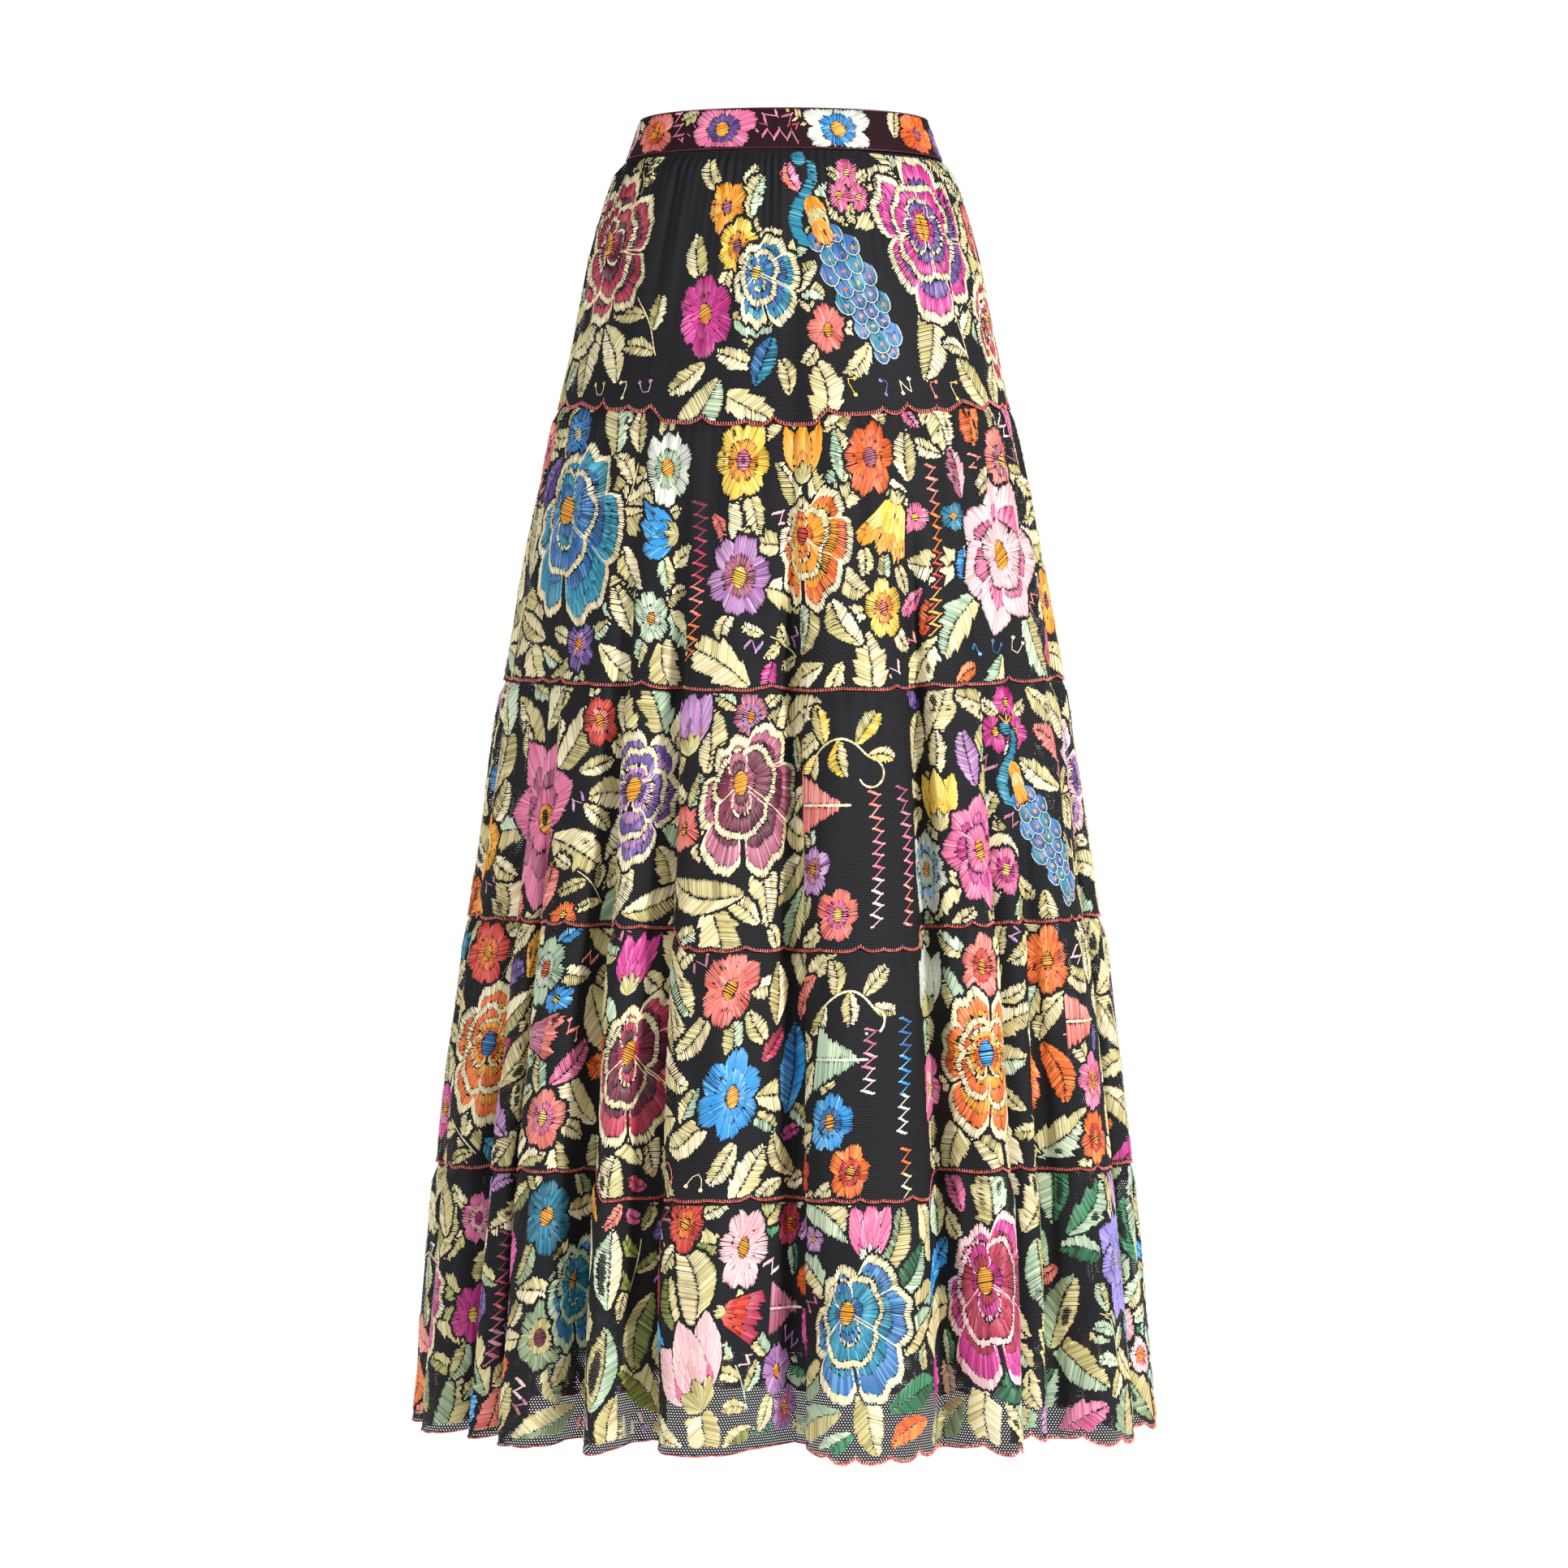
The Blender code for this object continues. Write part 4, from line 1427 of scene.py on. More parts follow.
FRONT_MOTIFS = {
    1: read_motifs("""
spray -82 60 60 15 straw cream
rose -60 82 116 10 crimson burgundy cream amber
spray -42 140 76 35 straw cream
leaf -70 150 56 -60 straw cream
spray -53 22 34 20 cream straw
leaf -22 22 34 20 cream straw
blossom -17 50 38 0 amber amber dusty
blossom -13 82 40 20 yellow amber dusty
leaf -8 40 40 -15 straw mint
blossom -21 138 60 15 magenta magenta amber
leaf -12 176 40 70 cream straw
peony -5 112 66 5 teal blue cream yellow
leaf -5 178 44 -20 blue teal
leaf 0 190 34 15 cream straw
peacock 13 84 160 -2 teal amber blue
posy 20 34 46 0 pink pink yellow
leaf 3 24 30 20 salmon pink
leaf 5 110 38 -40 straw cream
blossom 11 152 38 0 salmon salmon amber
leaf 31 26 40 -60 cream straw
rose 47 72 122 0 magenta purple cream amber
spray 52 140 66 20 cream straw
rose 77 142 84 0 crimson dusty cream amber
leaf 68 60 52 -20 straw cream
blossom 80 60 42 0 salmon salmon amber
notes -42 198 88 0 straw cream mauve yellow
notes 33 198 130 0 yellow purple cream salmon
"""),
    2: read_motifs("""
blossom -59 30 42 0 blue azure cream
peony -54 112 128 -6 teal blue cream amber
spray -38 66 74 -8 cream straw
leaf -78 120 60 10 straw cream
leaf -66 190 46 60 straw cream
blossom -27 46 54 10 white mint amber
tulip -28 100 40 90 azure teal straw
blossom -28 170 36 0 mint white amber
leaf -35 172 46 20 cream straw
blossom -9 38 58 0 yellow amber pink
zigzag -18 138 130 0 burgundy crimson salmon orange
blossom -9 134 62 0 mauve dusty yellow
tulip 4 30 44 0 amber yellow straw
peony 5 112 84 -8 orange amber cream red
spray -1 190 48 70 straw cream
leaf 12 42 46 8 mint straw
blossom 19 44 54 0 orange orange dusty
bell 22 104 56 -24 yellow amber straw
blossom 20 168 42 0 yellow amber salmon
leaf 12 178 50 35 straw cream
leaf 30 176 34 -10 orange red
leaf 29 44 44 0 cream straw
zigzag 34 122 140 0 salmon orange red amber
lily 55 130 122 0 pink blush amber
blossom 62 52 46 0 salmon dusty yellow
leaf 42 60 46 10 dusty blush
leaf 43 140 42 20 azure sky
notes 52 206 90 0 azure blue cream
spray 76 90 70 0 cream straw
blossom 82 170 50 0 amber yellow crimson
blossom -46 202 36 0 purple mauve amber
blossom -84 40 46 0 salmon pink yellow
"""),
    3: read_motifs("""
blossom -80 90 46 0 blue azure amber
blossom -72 144 46 0 amber yellow crimson
lily -53 118 118 10 dusty pink amber
leaf -60 60 40 25 straw cream
blossom -38 34 36 0 red salmon amber
rose -28 96 104 0 purple mauve cream amber
leaf -33 32 46 20 cream straw
spray -38 168 56 60 straw cream
tulip -18 30 48 10 mauve dusty straw
blossom -6 26 38 0 dusty mauve amber
peony -6 94 108 0 dusty burgundy cream amber
leaf -14 44 60 10 cream straw
leaf -13 164 66 80 cream straw
leaf -7 184 40 60 straw cream
blossom -18 118 34 0 salmon salmon amber
vine 12 52 78 0 straw yellow
kite 6 98 52 0 salmon cream
blossom 5 150 36 0 mauve dusty amber
zigzag 16 142 110 0 salmon pink blush
zigzag 22 142 116 0 dusty pink salmon
blossom 9 186 40 0 salmon pink yellow
tulip 30 96 44 0 yellow amber straw
leaf 28 50 54 -12 straw cream
lily 29 154 62 0 sky white amber
lily 38 140 86 0 magenta pink amber
peacock 54 108 138 -4 teal amber blue
posy 50 38 56 0 magenta pink amber
blossom 47 158 36 0 pink magenta yellow
spray 66 150 62 -10 straw cream
rose 80 92 94 0 mauve purple blush amber
leaf 84 166 52 70 cream straw
"""),
    4: read_motifs("""
blossom -67 34 48 0 red orange amber
rose -64 116 106 0 orange amber cream blue
spray -84 80 70 0 straw cream
blossom -45 42 50 0 mint white orange
bell -44 96 42 90 dusty salmon straw
blossom -42 162 46 0 salmon pink yellow
spray -70 184 60 60 straw cream
peony -25 120 108 0 crimson burgundy cream amber
tulip -26 32 46 0 magenta crimson straw
leaf -32 60 52 20 cream straw
leaf -26 186 56 70 straw cream
blossom -9 36 58 0 salmon salmon amber
blossom -8 122 64 0 azure azure amber
leaf 1 100 76 0 blue azure
leaf -1 40 52 10 straw cream
leaf 0 168 48 40 cream straw
vine 12 44 70 0 cream straw
kite 8 92 50 0 mint white
zigzag 13 96 58 0 dusty pink blush
zigzag 19 108 96 0 blue azure white
blossom 7 142 44 0 azure blue amber
blossom 10 182 40 0 orange red amber
blossom 3 184 32 0 red orange amber
zigzag 19 186 44 0 orange cream
tulip 28 48 50 0 white mint straw
blossom 27 134 44 0 pink blush amber
rose 36 116 108 0 orange amber cream azure
blossom 36 38 46 0 salmon red amber
spray 44 52 64 -10 cream straw
blossom 55 38 50 0 orange orange amber
kite 61 88 46 0 salmon cream
blossom 62 138 44 0 pink salmon amber
spray 50 176 62 50 straw cream
blossom 61 184 42 0 orange red amber
vine 78 100 96 0 cream straw
blossom -86 168 44 0 magenta pink amber
notes -16 190 50 0 salmon cream blue
"""),
    5: read_motifs("""
peony -77 118 98 0 magenta dusty cream amber
leaf -71 36 56 20 cream straw
blossom -64 46 38 0 pink blush magenta
blossom -64 126 44 0 magenta magenta yellow
blossom -62 170 34 0 crimson magenta yellow
zigzag -54 110 110 0 burgundy crimson dusty
blossom -40 40 54 0 teal teal amber
peony -35 104 82 0 blue teal mint amber
blossom -40 138 52 0 sage straw burgundy
leaf -27 60 66 4 mint cream
leaf -28 140 70 -4 straw mint
spray -24 50 58 0 olive straw
blossom -15 22 40 0 red orange amber
leaf -15 72 76 20 cream straw
tulip -14 134 70 30 blush pink straw
blossom -6 42 58 0 blush blush amber
bell -6 96 46 80 red crimson straw
kite 0 92 44 0 dusty blush
blossom -1 142 40 0 mauve mauve amber
spray -7 148 54 30 straw mint
blossom 0 172 34 0 mauve pink amber
blossom 1 24 34 0 crimson red amber
peony 11 106 104 0 blue teal cream amber
tulip 13 28 46 0 pink magenta white
leaf 19 60 52 -30 green mint
leaf 21 110 54 -50 mint straw
leaf 20 160 62 -70 green green
leaf 28 36 44 10 mint straw
peony 35 108 124 0 magenta crimson blush amber
leaf 40 36 48 -30 sage mint
leaf 36 176 60 80 green green
leaf 52 62 52 30 straw mint
leaf 57 34 60 -35 green mint
lily 66 80 86 0 lilac lilac straw
spray 60 140 56 20 mint straw
blossom 82 138 30 0 blush blush amber
blossom 84 166 28 0 blush salmon amber
blossom 74 166 28 0 blush blush amber
leaf 84 60 60 10 green mint
vine -86 90 90 0 straw mint
"""),
}
BAND_MOTIFS = read_motifs("""
blossom -84 18 40 0 blush dusty amber
blossom -57 17 44 0 salmon orange amber
blossom -23 18 54 0 pink purple amber
blossom 20 18 58 0 white azure amber
blossom 60 17 44 0 orange orange dusty
blossom 82 24 38 0 purple mauve amber
zigzag -44 14 26 20 pink dusty
zigzag -40 22 24 -75 dusty pink
zigzag -6 10 26 125 dusty pink
zigzag -1 24 30 80 pink dusty
zigzag 3 15 22 30 dusty crimson
leaf -36 7 30 110 straw cream
leaf 6 8 30 70 cream straw
leaf 47 10 30 -20 cream straw
leaf -70 12 30 60 straw cream
""")

# How the back's motifs follow the front's: their tier, their spread, and the flosses that change.
BACK_FROM = {1: 2, 2: 3, 3: 4, 4: 1, 5: 5}
BACK_SPREAD = 0.98
BACK_SWAPS = {
    **{"crimson": "blue", "blue": "magenta", "magenta": "orange", "orange": "purple", "purple": "crimson"},
    **{"teal": "red", "red": "teal", "azure": "salmon", "salmon": "azure"},
    **{"dusty": "mauve", "mauve": "dusty"},
}


@dataclass
class StitchBook:
    """All stitches on one band of cloth, with places as u and millimetres down."""

    surface: ClothSurface
    runs: list[StitchRun] = field(default_factory=list)
    cell_mm: float = 1.5

    def __post_init__(self) -> None:
        """Starts with nothing covered."""
        self.across = self.surface.lengths[self.surface.rows // 2]
        size = (2, int(self.across.max() / self.cell_mm) + 2, int(self.surface.depth_mm / self.cell_mm) + 2)
        self.covered = np.zeros(size, bool)

    def cell(self, u: Array, down: Array) -> tuple[Array, Array, Array]:
        """Gives the numbers of the cells that places lie in."""
        u = np.mod(u, 2.0)
        half = (u >= 1.0).astype(int)
        column = ((u - half) * self.across[half] / self.cell_mm).astype(int)
        row = np.clip(down / self.cell_mm, 0, self.covered.shape[2] - 1).astype(int)
        return half, np.clip(column, 0, self.covered.shape[1] - 1), row

    def is_free(self, u: float, down: float, reach: float) -> bool:
        """Tells whether a square round a place is free of stitches."""
        half, column, row = (int(part) for part in self.cell(np.array(u), np.array(down)))
        r = int(reach / self.cell_mm)
        near = (slice(max(middle - r, 0), middle + r + 1) for middle in (column, row))
        return not self.covered[(half, *near)].any()

    def mark(self, runs: Sequence[StitchRun]) -> None:
        """Marks the cells under these stitches, and their neighbours."""
        for run in runs:
            way = run.way()
            half, column, row = self.cell(way[..., 0], way[..., 1])
            for dx, dy in ((0, 0), (1, 0), (-1, 0), (0, 1), (0, -1)):
                x = np.clip(column + dx, 0, self.covered.shape[1] - 1)
                y = np.clip(row + dy, 0, self.covered.shape[2] - 1)
                self.covered[half, x, y] = True

    def keep(self, run: StitchRun) -> None:
        """Writes down the parts of a run's stitches that lie on free cloth, within its room."""
        way = run.way()
        u, down = way[..., 0], way[..., 1]
        top, bottom = self.surface.room(self.surface.angle_at(u, down))
        taken = (down < top) | (down > bottom) | self.covered[self.cell(u, down)]
        self.runs.append(run.cut_back(way, taken, SHORTEST_LAID_MM, self.across[0]))

    def write(
        self, start: Array, end: Array, width: float | Array, lift: float, tone: Array, shade: Floss
    ) -> None:
        """Writes down stitches as they are."""
        width, lift = (np.broadcast_to(part, tone.shape) for part in (width, lift))
        self.runs.append(StitchRun(start, end, width, lift, tone, shade))

    def place(self, needle: Needle, motif: Motif, scale: Place = (1.0, 1.0)) -> None:
        """Lays a finished motif on the cloth, behind those that are there already.

        Args:
            needle: the motif's stitches.
            motif: says where its middle lies and how far it is turned.
            scale: how far it is then stretched across and upwards, below 0 to mirror it.
        """
        u = self.surface.u_at(motif.angle, motif.down)
        first = len(self.runs)
        for run in needle.runs:
            ends = []
            for points in (run.start, run.end):
                local = turned(points, motif.turn) * np.array(scale)
                depth = motif.down - local[:, 1]
                length = self.surface.length_at(depth, int(u >= 1.0))
                ends.append(np.stack((u + local[:, 0] / length, depth), -1))
            self.keep(run._replace(start=ends[0], end=ends[1]))
        self.mark(self.runs[first:])

    def stitches(self) -> tuple[Array, ...]:
        """Gives all starts, ends, widths and lifts, and a key for each stitch's shade and tone."""
        keys = [run.tone + TONES * list(Floss).index(run.shade) for run in self.runs]
        return *(np.concatenate([run[k] for run in self.runs]) for k in range(4)), np.concatenate(keys)


def build_mesh(
    name: str, points: Array, quads: Array, materials: Sequence[Material],
    slots: Array | None = None, uv_name: str = "", uv: Array | None = None,
) -> Object:
    """Makes a smooth mesh of four-sided faces.

    Args:
        name: the object's name.
        points: its points.
        quads: four point numbers for each face.
        materials: its materials.
        slots: each face's material number, or None for the first.
        uv_name: the UV map's name.
        uv: a place on the UV map for each point, or None.

    Returns:
        The new object.
    """
    mesh = bpy.data.meshes.new(name)
    mesh.vertices.add(len(points))
    mesh.vertices.foreach_set("co", np.ascontiguousarray(points, np.float32).ravel())
    mesh.loops.add(quads.size)
    mesh.loops.foreach_set("vertex_index", quads.astype(np.int32).ravel())
    mesh.polygons.add(len(quads))
    mesh.polygons.foreach_set("loop_start", np.arange(0, quads.size, 4, dtype=np.int32))
    for material in materials:
        mesh.materials.append(material)
    if slots is not None:
        mesh.polygons.foreach_set("material_index", slots.astype(np.int32))
    mesh.polygons.foreach_set("use_smooth", np.ones(len(quads), bool))
    if uv is not None:
        layer = mesh.uv_layers.new(name=uv_name)
        layer.uv.foreach_set("vector", np.ascontiguousarray(uv[quads.ravel()], np.float32).ravel())
    mesh.update(calc_edges=True)
    mesh.validate()
    item = bpy.data.objects.new(name, mesh)
    bpy.context.scene.collection.objects.link(item)
    return item


def grid_quads(rows: int, columns: int, closed: bool = False) -> Array:
    """Numbers the faces of a grid of points whose rows run downwards, so that they face outwards."""
    across = columns if closed else columns - 1
    row, column = np.meshgrid(np.arange(rows - 1), np.arange(across), indexing="ij")
    after = (column + 1) % columns
    corners = ((row, column), (row + 1, column), (row + 1, after), (row, after))
    return np.stack([(r * columns + c).ravel() for r, c in corners], -1)


# For stitches up to each length in millimetres: stations as shares of the way, and the width at each.
STRANDS = (
    (5.2, (0.0, 1.0), (0.82, 0.82)),
    (10.5, (0.0, 0.5, 1.0), (0.60, 1.0, 0.60)),
    (19.0, (0.0, 0.16, 0.84, 1.0), (0.42, 1.0, 1.0, 0.42)),
    (math.inf, (0.0, 0.1, 0.5, 0.9, 1.0), (0.42, 1.0, 1.0, 1.0, 0.42)),
)


@dataclass(frozen=True)
class ThreadLoft:
    """Turns stitches into rounded strands that dip into the cloth at both ends."""

    crown_mm: float = 0.50

    def build(self, name: str, book: StitchBook, chosen: Array | slice = slice(None)) -> Object:
        """Makes one object of stitches of a book.

        Args:
            name: the object's name.
            book: the stitches.
            chosen: which of them to take.

        Returns:
            The thread work, with a material for each strand's tone.
        """
        start, end, width, lift, key = (part[chosen] for part in book.stitches())
        half = (np.mod(start[:, 0], 2.0) >= 1.0).astype(int)
        scale = book.surface.lengths[book.surface.rows // 2, half]
        length = np.hypot((end[:, 0] - start[:, 0]) * scale, end[:, 1] - start[:, 1])
        points, quads, slots, uvs, count, shortest = [], [], [], [], 0, 0.0
        for longest, shares, widths in STRANDS:
            group = (length >= shortest) & (length < longest)
            shortest = longest
            if not group.any():
                continue
            shares, widths = np.array(shares), np.array(widths)
            way = start[group, None] + (end[group] - start[group])[:, None] * shares[None, :, None]
            centre, normal = book.surface.point_and_normal(way[..., 0].ravel(), way[..., 1].ravel())
            centre, normal = (part.reshape(-1, len(shares), 3) for part in (centre, normal))
            side = np.cross(normal, (centre[:, -1] - centre[:, 0])[:, None])
            side /= np.linalg.norm(side, axis=-1, keepdims=True) + 1e-12
            wide = (width[group, None] / 2 * widths)[..., None] * MM
            base = (lift[group, None] * (0.35 + 0.65 * (widths > 0.6)))[..., None] * MM
            crown = (self.crown_mm * widths)[None, :, None] * MM
            ridge = centre + normal * (base + crown)
            left, right = centre - side * wide + normal * base, centre + side * wide + normal * base
            strand = np.stack((left, ridge, right), 2)
            total, stops = strand.shape[:2]
            first = count + 3 * stops * np.arange(total)[:, None]
            k = np.arange(stops - 1)
            for a, b in ((0, 1), (1, 2)):
                corner = (3 * k + a, 3 * k + b, 3 * k + 3 + b, 3 * k + 3 + a)
                quads.append(np.stack([first + c for c in corner], -1).reshape(-1, 4))
                slots.append(np.repeat(key[group], stops - 1))
            across = np.broadcast_to(np.array((0.0, 0.5, 1.0)), (total, stops, 3)) * width[group, None, None]
            shift = np.arange(total)[:, None, None] * GRAIN_SHIFT_MM
            down = shares[None, :, None] * length[group, None, None] + shift
            uvs.append(np.stack((across, np.broadcast_to(down, across.shape)), -1).reshape(-1, 2))
            points.append(strand.reshape(-1, 3))
            count += 3 * stops * total
        points, quads, slots, uvs = (np.concatenate(part) for part in (points, quads, slots, uvs))
        used, slot_numbers = np.unique(slots, return_inverse=True)
        materials = [FlossFinish().build(list(Floss)[int(k) // TONES], int(k) % TONES) for k in used]
        return build_mesh(name, points, quads, materials, slot_numbers, "thread", uvs)

    def pair(self, number: int, work: str, book: StitchBook) -> list[Object]:
        """Makes a tier's stitches as a front piece and a back piece."""
        behind = np.mod(book.stitches()[0][:, 0], 2.0) >= 1.0
        halves = (("front", ~behind), ("back", behind))
        return [self.build(f"tier_{number}_{side}_{work}", book, chosen) for side, chosen in halves]


@dataclass
class Embroidery:
    """The floss embroidery of the tiers and the band."""

    front_pitch_mm: float = 1.56
    back_pitch_mm: float = 2.55
    band_front_pitch_mm: float = 1.3
    band_back_pitch_mm: float = 1.6
    thread_share: float = 0.97
    open_net_wider: float = 0.30
    seed: int = 7

    def worked(self, motif: Motif, rng: np.random.Generator, pitch: float) -> Needle:
        """Works one motif in full."""
        needle = Needle(rng, pitch, pitch * self.thread_share)
        getattr(needle, motif.kind.value)(motif.size, motif.shades())
        return needle

    def back_motif(self, motif: Motif) -> Motif:
        """Turns a front motif into one for the back, mirrored and in other flosses."""
        names = [BACK_SWAPS.get(name, name) for name in motif.colours.split()]
        return motif._replace(angle=180 + motif.angle * BACK_SPREAD, colours=" ".join(names))

    def works_there(self, number: int, half: int, degrees: Array) -> Array:
        """Tells whether small motifs may fill the net at these angles of the front (0) or back (1)."""
        first, last = BARE_NET[BACK_FROM[number] if half else number]
        angle = (degrees % 360 - 180) / BACK_SPREAD if half else (degrees + 180) % 360 - 180
        return (angle < first) | (angle > last)

    def leaf_flosses(self, number: int, degrees: float) -> tuple[str, ...]:
        """Gives a leaf's possible flosses, dark green only at the wearer's left of the hem tier."""
        if number < len(SEAMS):
            return PALE_LEAVES
        return DARK_LEAVES if 0 < (degrees + 3) % 360 < 180 else HEM_LEAVES

    def grow_leaves(
        self, book: StitchBook, motif: Motif, rng: np.random.Generator, pitch: float, mirror: int
    ) -> None:
        """Works long leaves that come out from behind a flower.

        Args:
            book: the tier's stitches.
            motif: the flower.
            rng: the source of small differences.
            pitch: the spacing of the stitches.
            mirror: 1 on the front and -1 on the back.
        """
        half = 0 if mirror > 0 else 1
        shades = self.leaf_flosses(book.surface.number, motif.angle)
        count, share = FLOWER_LEAVES[motif.kind]
        per_degree = float(book.surface.length_at(motif.down, half)) / 180
        for turn in ring(rng, count, 16):
            length = float(np.clip(share * motif.size, 30.0, 78.0)) * rng.uniform(0.85, 1.15)
            reach = 0.40 * motif.size + 0.38 * length
            x, y = -math.sin(math.radians(turn)) * reach, math.cos(math.radians(turn)) * reach
            middle = np.array(motif.angle + x * mirror / per_degree)
            if not self.works_there(book.surface.number, half, middle):
                continue
            leaf = self.worked(Motif(Kind.LEAF, 0, 0, length, 0, shades[rng.integers(4)]), rng, pitch)
            spray = leaf.fresh()
            spray.add(leaf, turn, (x, y))
            book.place(spray, motif, (mirror * 0.92, 1.10))

    def fill_gaps(self, book: StitchBook, rng: np.random.Generator) -> None:
        """Works leaves and small flowers where the motifs leave the net bare, the largest first."""
        surface = book.surface
        for half, pitch in enumerate((self.front_pitch_mm, self.back_pitch_mm)):
            for reach, size in FILLINGS[: 2 if surface.number == 1 else 4]:
                x, y = np.meshgrid(np.arange(6, book.across[half] - 4, 9.0), np.arange(9, 236, 8.0))
                x, y = x.ravel() + rng.uniform(-3, 3, x.size), y.ravel() + rng.uniform(-3, 3, x.size)
                u = half + x / book.across[half]
                angle = surface.angle_at(u, y)
                top, bottom = surface.room(angle)
                open_net = (y > top + 0.4 * reach) & (y < bottom - 0.4 * reach)
                open_net &= self.works_there(surface.number, half, np.degrees(angle))
                for k in rng.permutation(np.flatnonzero(open_net)):
                    if book.is_free(u[k], y[k], reach):
                        place = (math.degrees(angle[k]), y[k])
                        self.small_motif(book, rng, place, size * rng.uniform(0.85, 1.1), pitch)

    def small_motif(
        self, book: StitchBook, rng: np.random.Generator, place: Place, size: float, pitch: float
    ) -> None:
        """Works one small filling motif, or leaves its place bare now and then.

        Args:
            book: the tier's stitches.
            rng: the source of small differences.
            place: its angle in degrees, and how far down it lies.
            size: its size.
            pitch: the spacing of the stitches.
        """
        tier = book.surface.number
        choice = rng.random()
        colours = self.leaf_flosses(tier, place[0])[rng.integers(4)]
        bright = BRIGHT[rng.integers(10)]
        bare_share = 0.55 if size < 24 else 0.45 if tier == len(SEAMS) else 0.1
        if choice < bare_share:
            return
        kind = Kind.LEAF
        if size < 24:
            kind, colours = Kind.ZIGZAG, ("dusty", "mauve", "salmon", "blush")[rng.integers(4)]
        elif choice >= 0.78 and tier > 1:
            colours = f"{bright} {bright}"
            if choice < 0.88 and size < 34:
                kind, colours = Kind.BLOSSOM, f"{colours} {('amber', 'yellow')[rng.integers(2)]}"
            size = size * 0.8
        motif = Motif(kind, *place, size, 0, colours)
        needle = self.worked(motif, rng, pitch)
        book.place(needle, motif._replace(turn=rng.uniform(-70, 70) + 180 * rng.integers(2)))

    def tier_book(self, surface: TierSurface) -> StitchBook:
        """Works all motifs of one tier, front and back, and fills the gaps."""
        rng = np.random.default_rng(self.seed * 100 + surface.number)
        book = StitchBook(surface)
        behind = [self.back_motif(motif) for motif in FRONT_MOTIFS[BACK_FROM[surface.number]]]
        halves = ((FRONT_MOTIFS[surface.number], self.front_pitch_mm, 1), (behind, self.back_pitch_mm, -1))
        order = list(Kind)
        for motifs, pitch, mirror in halves:
            for motif in sorted(motifs, key=lambda item: (order.index(item.kind), -item.size)):
                wide, tall = TALL.get(motif.kind, (1.0, 1.0))
                book.place(self.worked(motif, rng, pitch), motif, (mirror * wide, tall))
        for motifs, pitch, mirror in halves:
            for motif in motifs:
                if motif.kind in FLOWER_LEAVES:
                    self.grow_leaves(book, motif, rng, pitch, mirror)
        self.fill_gaps(book, rng)
        if surface.number == len(SEAMS):
            wider = [1.0 + self.open_net_wider * (run.start[:, 1] > OPEN_NET_MM) for run in book.runs]
            book.runs = [run._replace(width=run.width * share) for run, share in zip(book.runs, wider)]
        return book

    def dress_tier(self, surface: TierSurface) -> list[Object]:
        """Makes a tier's embroidery as a front piece and a back piece."""
        made = ThreadLoft().pair(surface.number, "embroidery", self.tier_book(surface))
        for item in made:
            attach(item, BODY)
            LOG.info("%s: %d faces", item.name, len(item.data.polygons))
        return made

    def dress_band(self, surface: BandSurface) -> Object:
        """Makes the band's embroidery, and its mirror image round the back."""
        rng = np.random.default_rng(self.seed)
        book = StitchBook(surface)
        for motif in BAND_MOTIFS:
            wide, tall = (1.04, 0.92) if motif.kind is Kind.BLOSSOM else (1.0, 1.0)
            book.place(self.worked(motif, rng, self.band_front_pitch_mm), motif, (wide, tall))
            behind = self.back_motif(motif)
            book.place(self.worked(behind, rng, self.band_back_pitch_mm), behind, (-wide, tall))
        item = ThreadLoft().build("waistband_embroidery", book)
        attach(item, BODY)
        LOG.info("%s: %d faces", item.name, len(item.data.polygons))
        return item


@dataclass
class NetTier:
    """One tier's net, as a front and a back sheet gathered onto the edge above."""

    surface: TierSurface
    columns: int = 380
    near_rows_mm: tuple[float, ...] = (-3.0, 1.0, 5.0, 9.0, 13.0, 19.0, 27.0, 38.0)
    far_rows: int = 9

    def build(self) -> list[Object]:
        """Makes both sheets and puts them in place of the tier's solids."""
        finish = bpy.data.materials.get("knitted_hexagonal_net") or NetFinish().build()
        last = self.near_rows_mm[-1]
        shares = [(down, 0.0) for down in self.near_rows_mm if self.surface.above or down >= 0]
        shares += [(last, (k + 1) / self.far_rows) for k in range(self.far_rows)]
        made = []
        for half, side in enumerate(("front", "back")):
            u = np.linspace(half + 0.0002, half + 0.9998, self.columns)
            rows, maps = [], []
            height = self.surface.height_mm(self.surface.angle_at(u, np.full_like(u, 100.0)))
            length = float(self.surface.lengths[self.surface.rows // 2, half]) * MM
            for near, share in shares:
                down = near + share * (height - near)
                turn = self.surface.angle_at(u, down)
                if share == 1.0:
                    down = self.surface.height_mm(turn)
                rows.append(self.surface.point(turn, down))
                maps.append(np.stack(((u - half) * length, down * MM + 0.01), -1))
            quads = grid_quads(len(rows), self.columns)
            name = f"tier_{self.surface.number}_{side}"
            points, uv = np.concatenate(rows), np.concatenate(maps)
            item = build_mesh(f"{name}_net", points, quads, [finish], None, "cloth", uv)
            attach(item, BODY)
            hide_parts(name)
            made.append(item)
        return made

    def flat_size(self, half: int) -> tuple[float, float]:
        """Gives a sheet's size as cut: the folded cloth's length with its gathers, and height with lap."""
        height = float(self.surface.height_mm(np.array([math.pi * half])).max()) + LAP_ABOVE_MM + 4.0
        width = float(self.surface.length_at(FLAT_AT_MM, half)) * MM * GATHER_ALLOWANCE
        return round(width, 3), round(height * MM, 3)


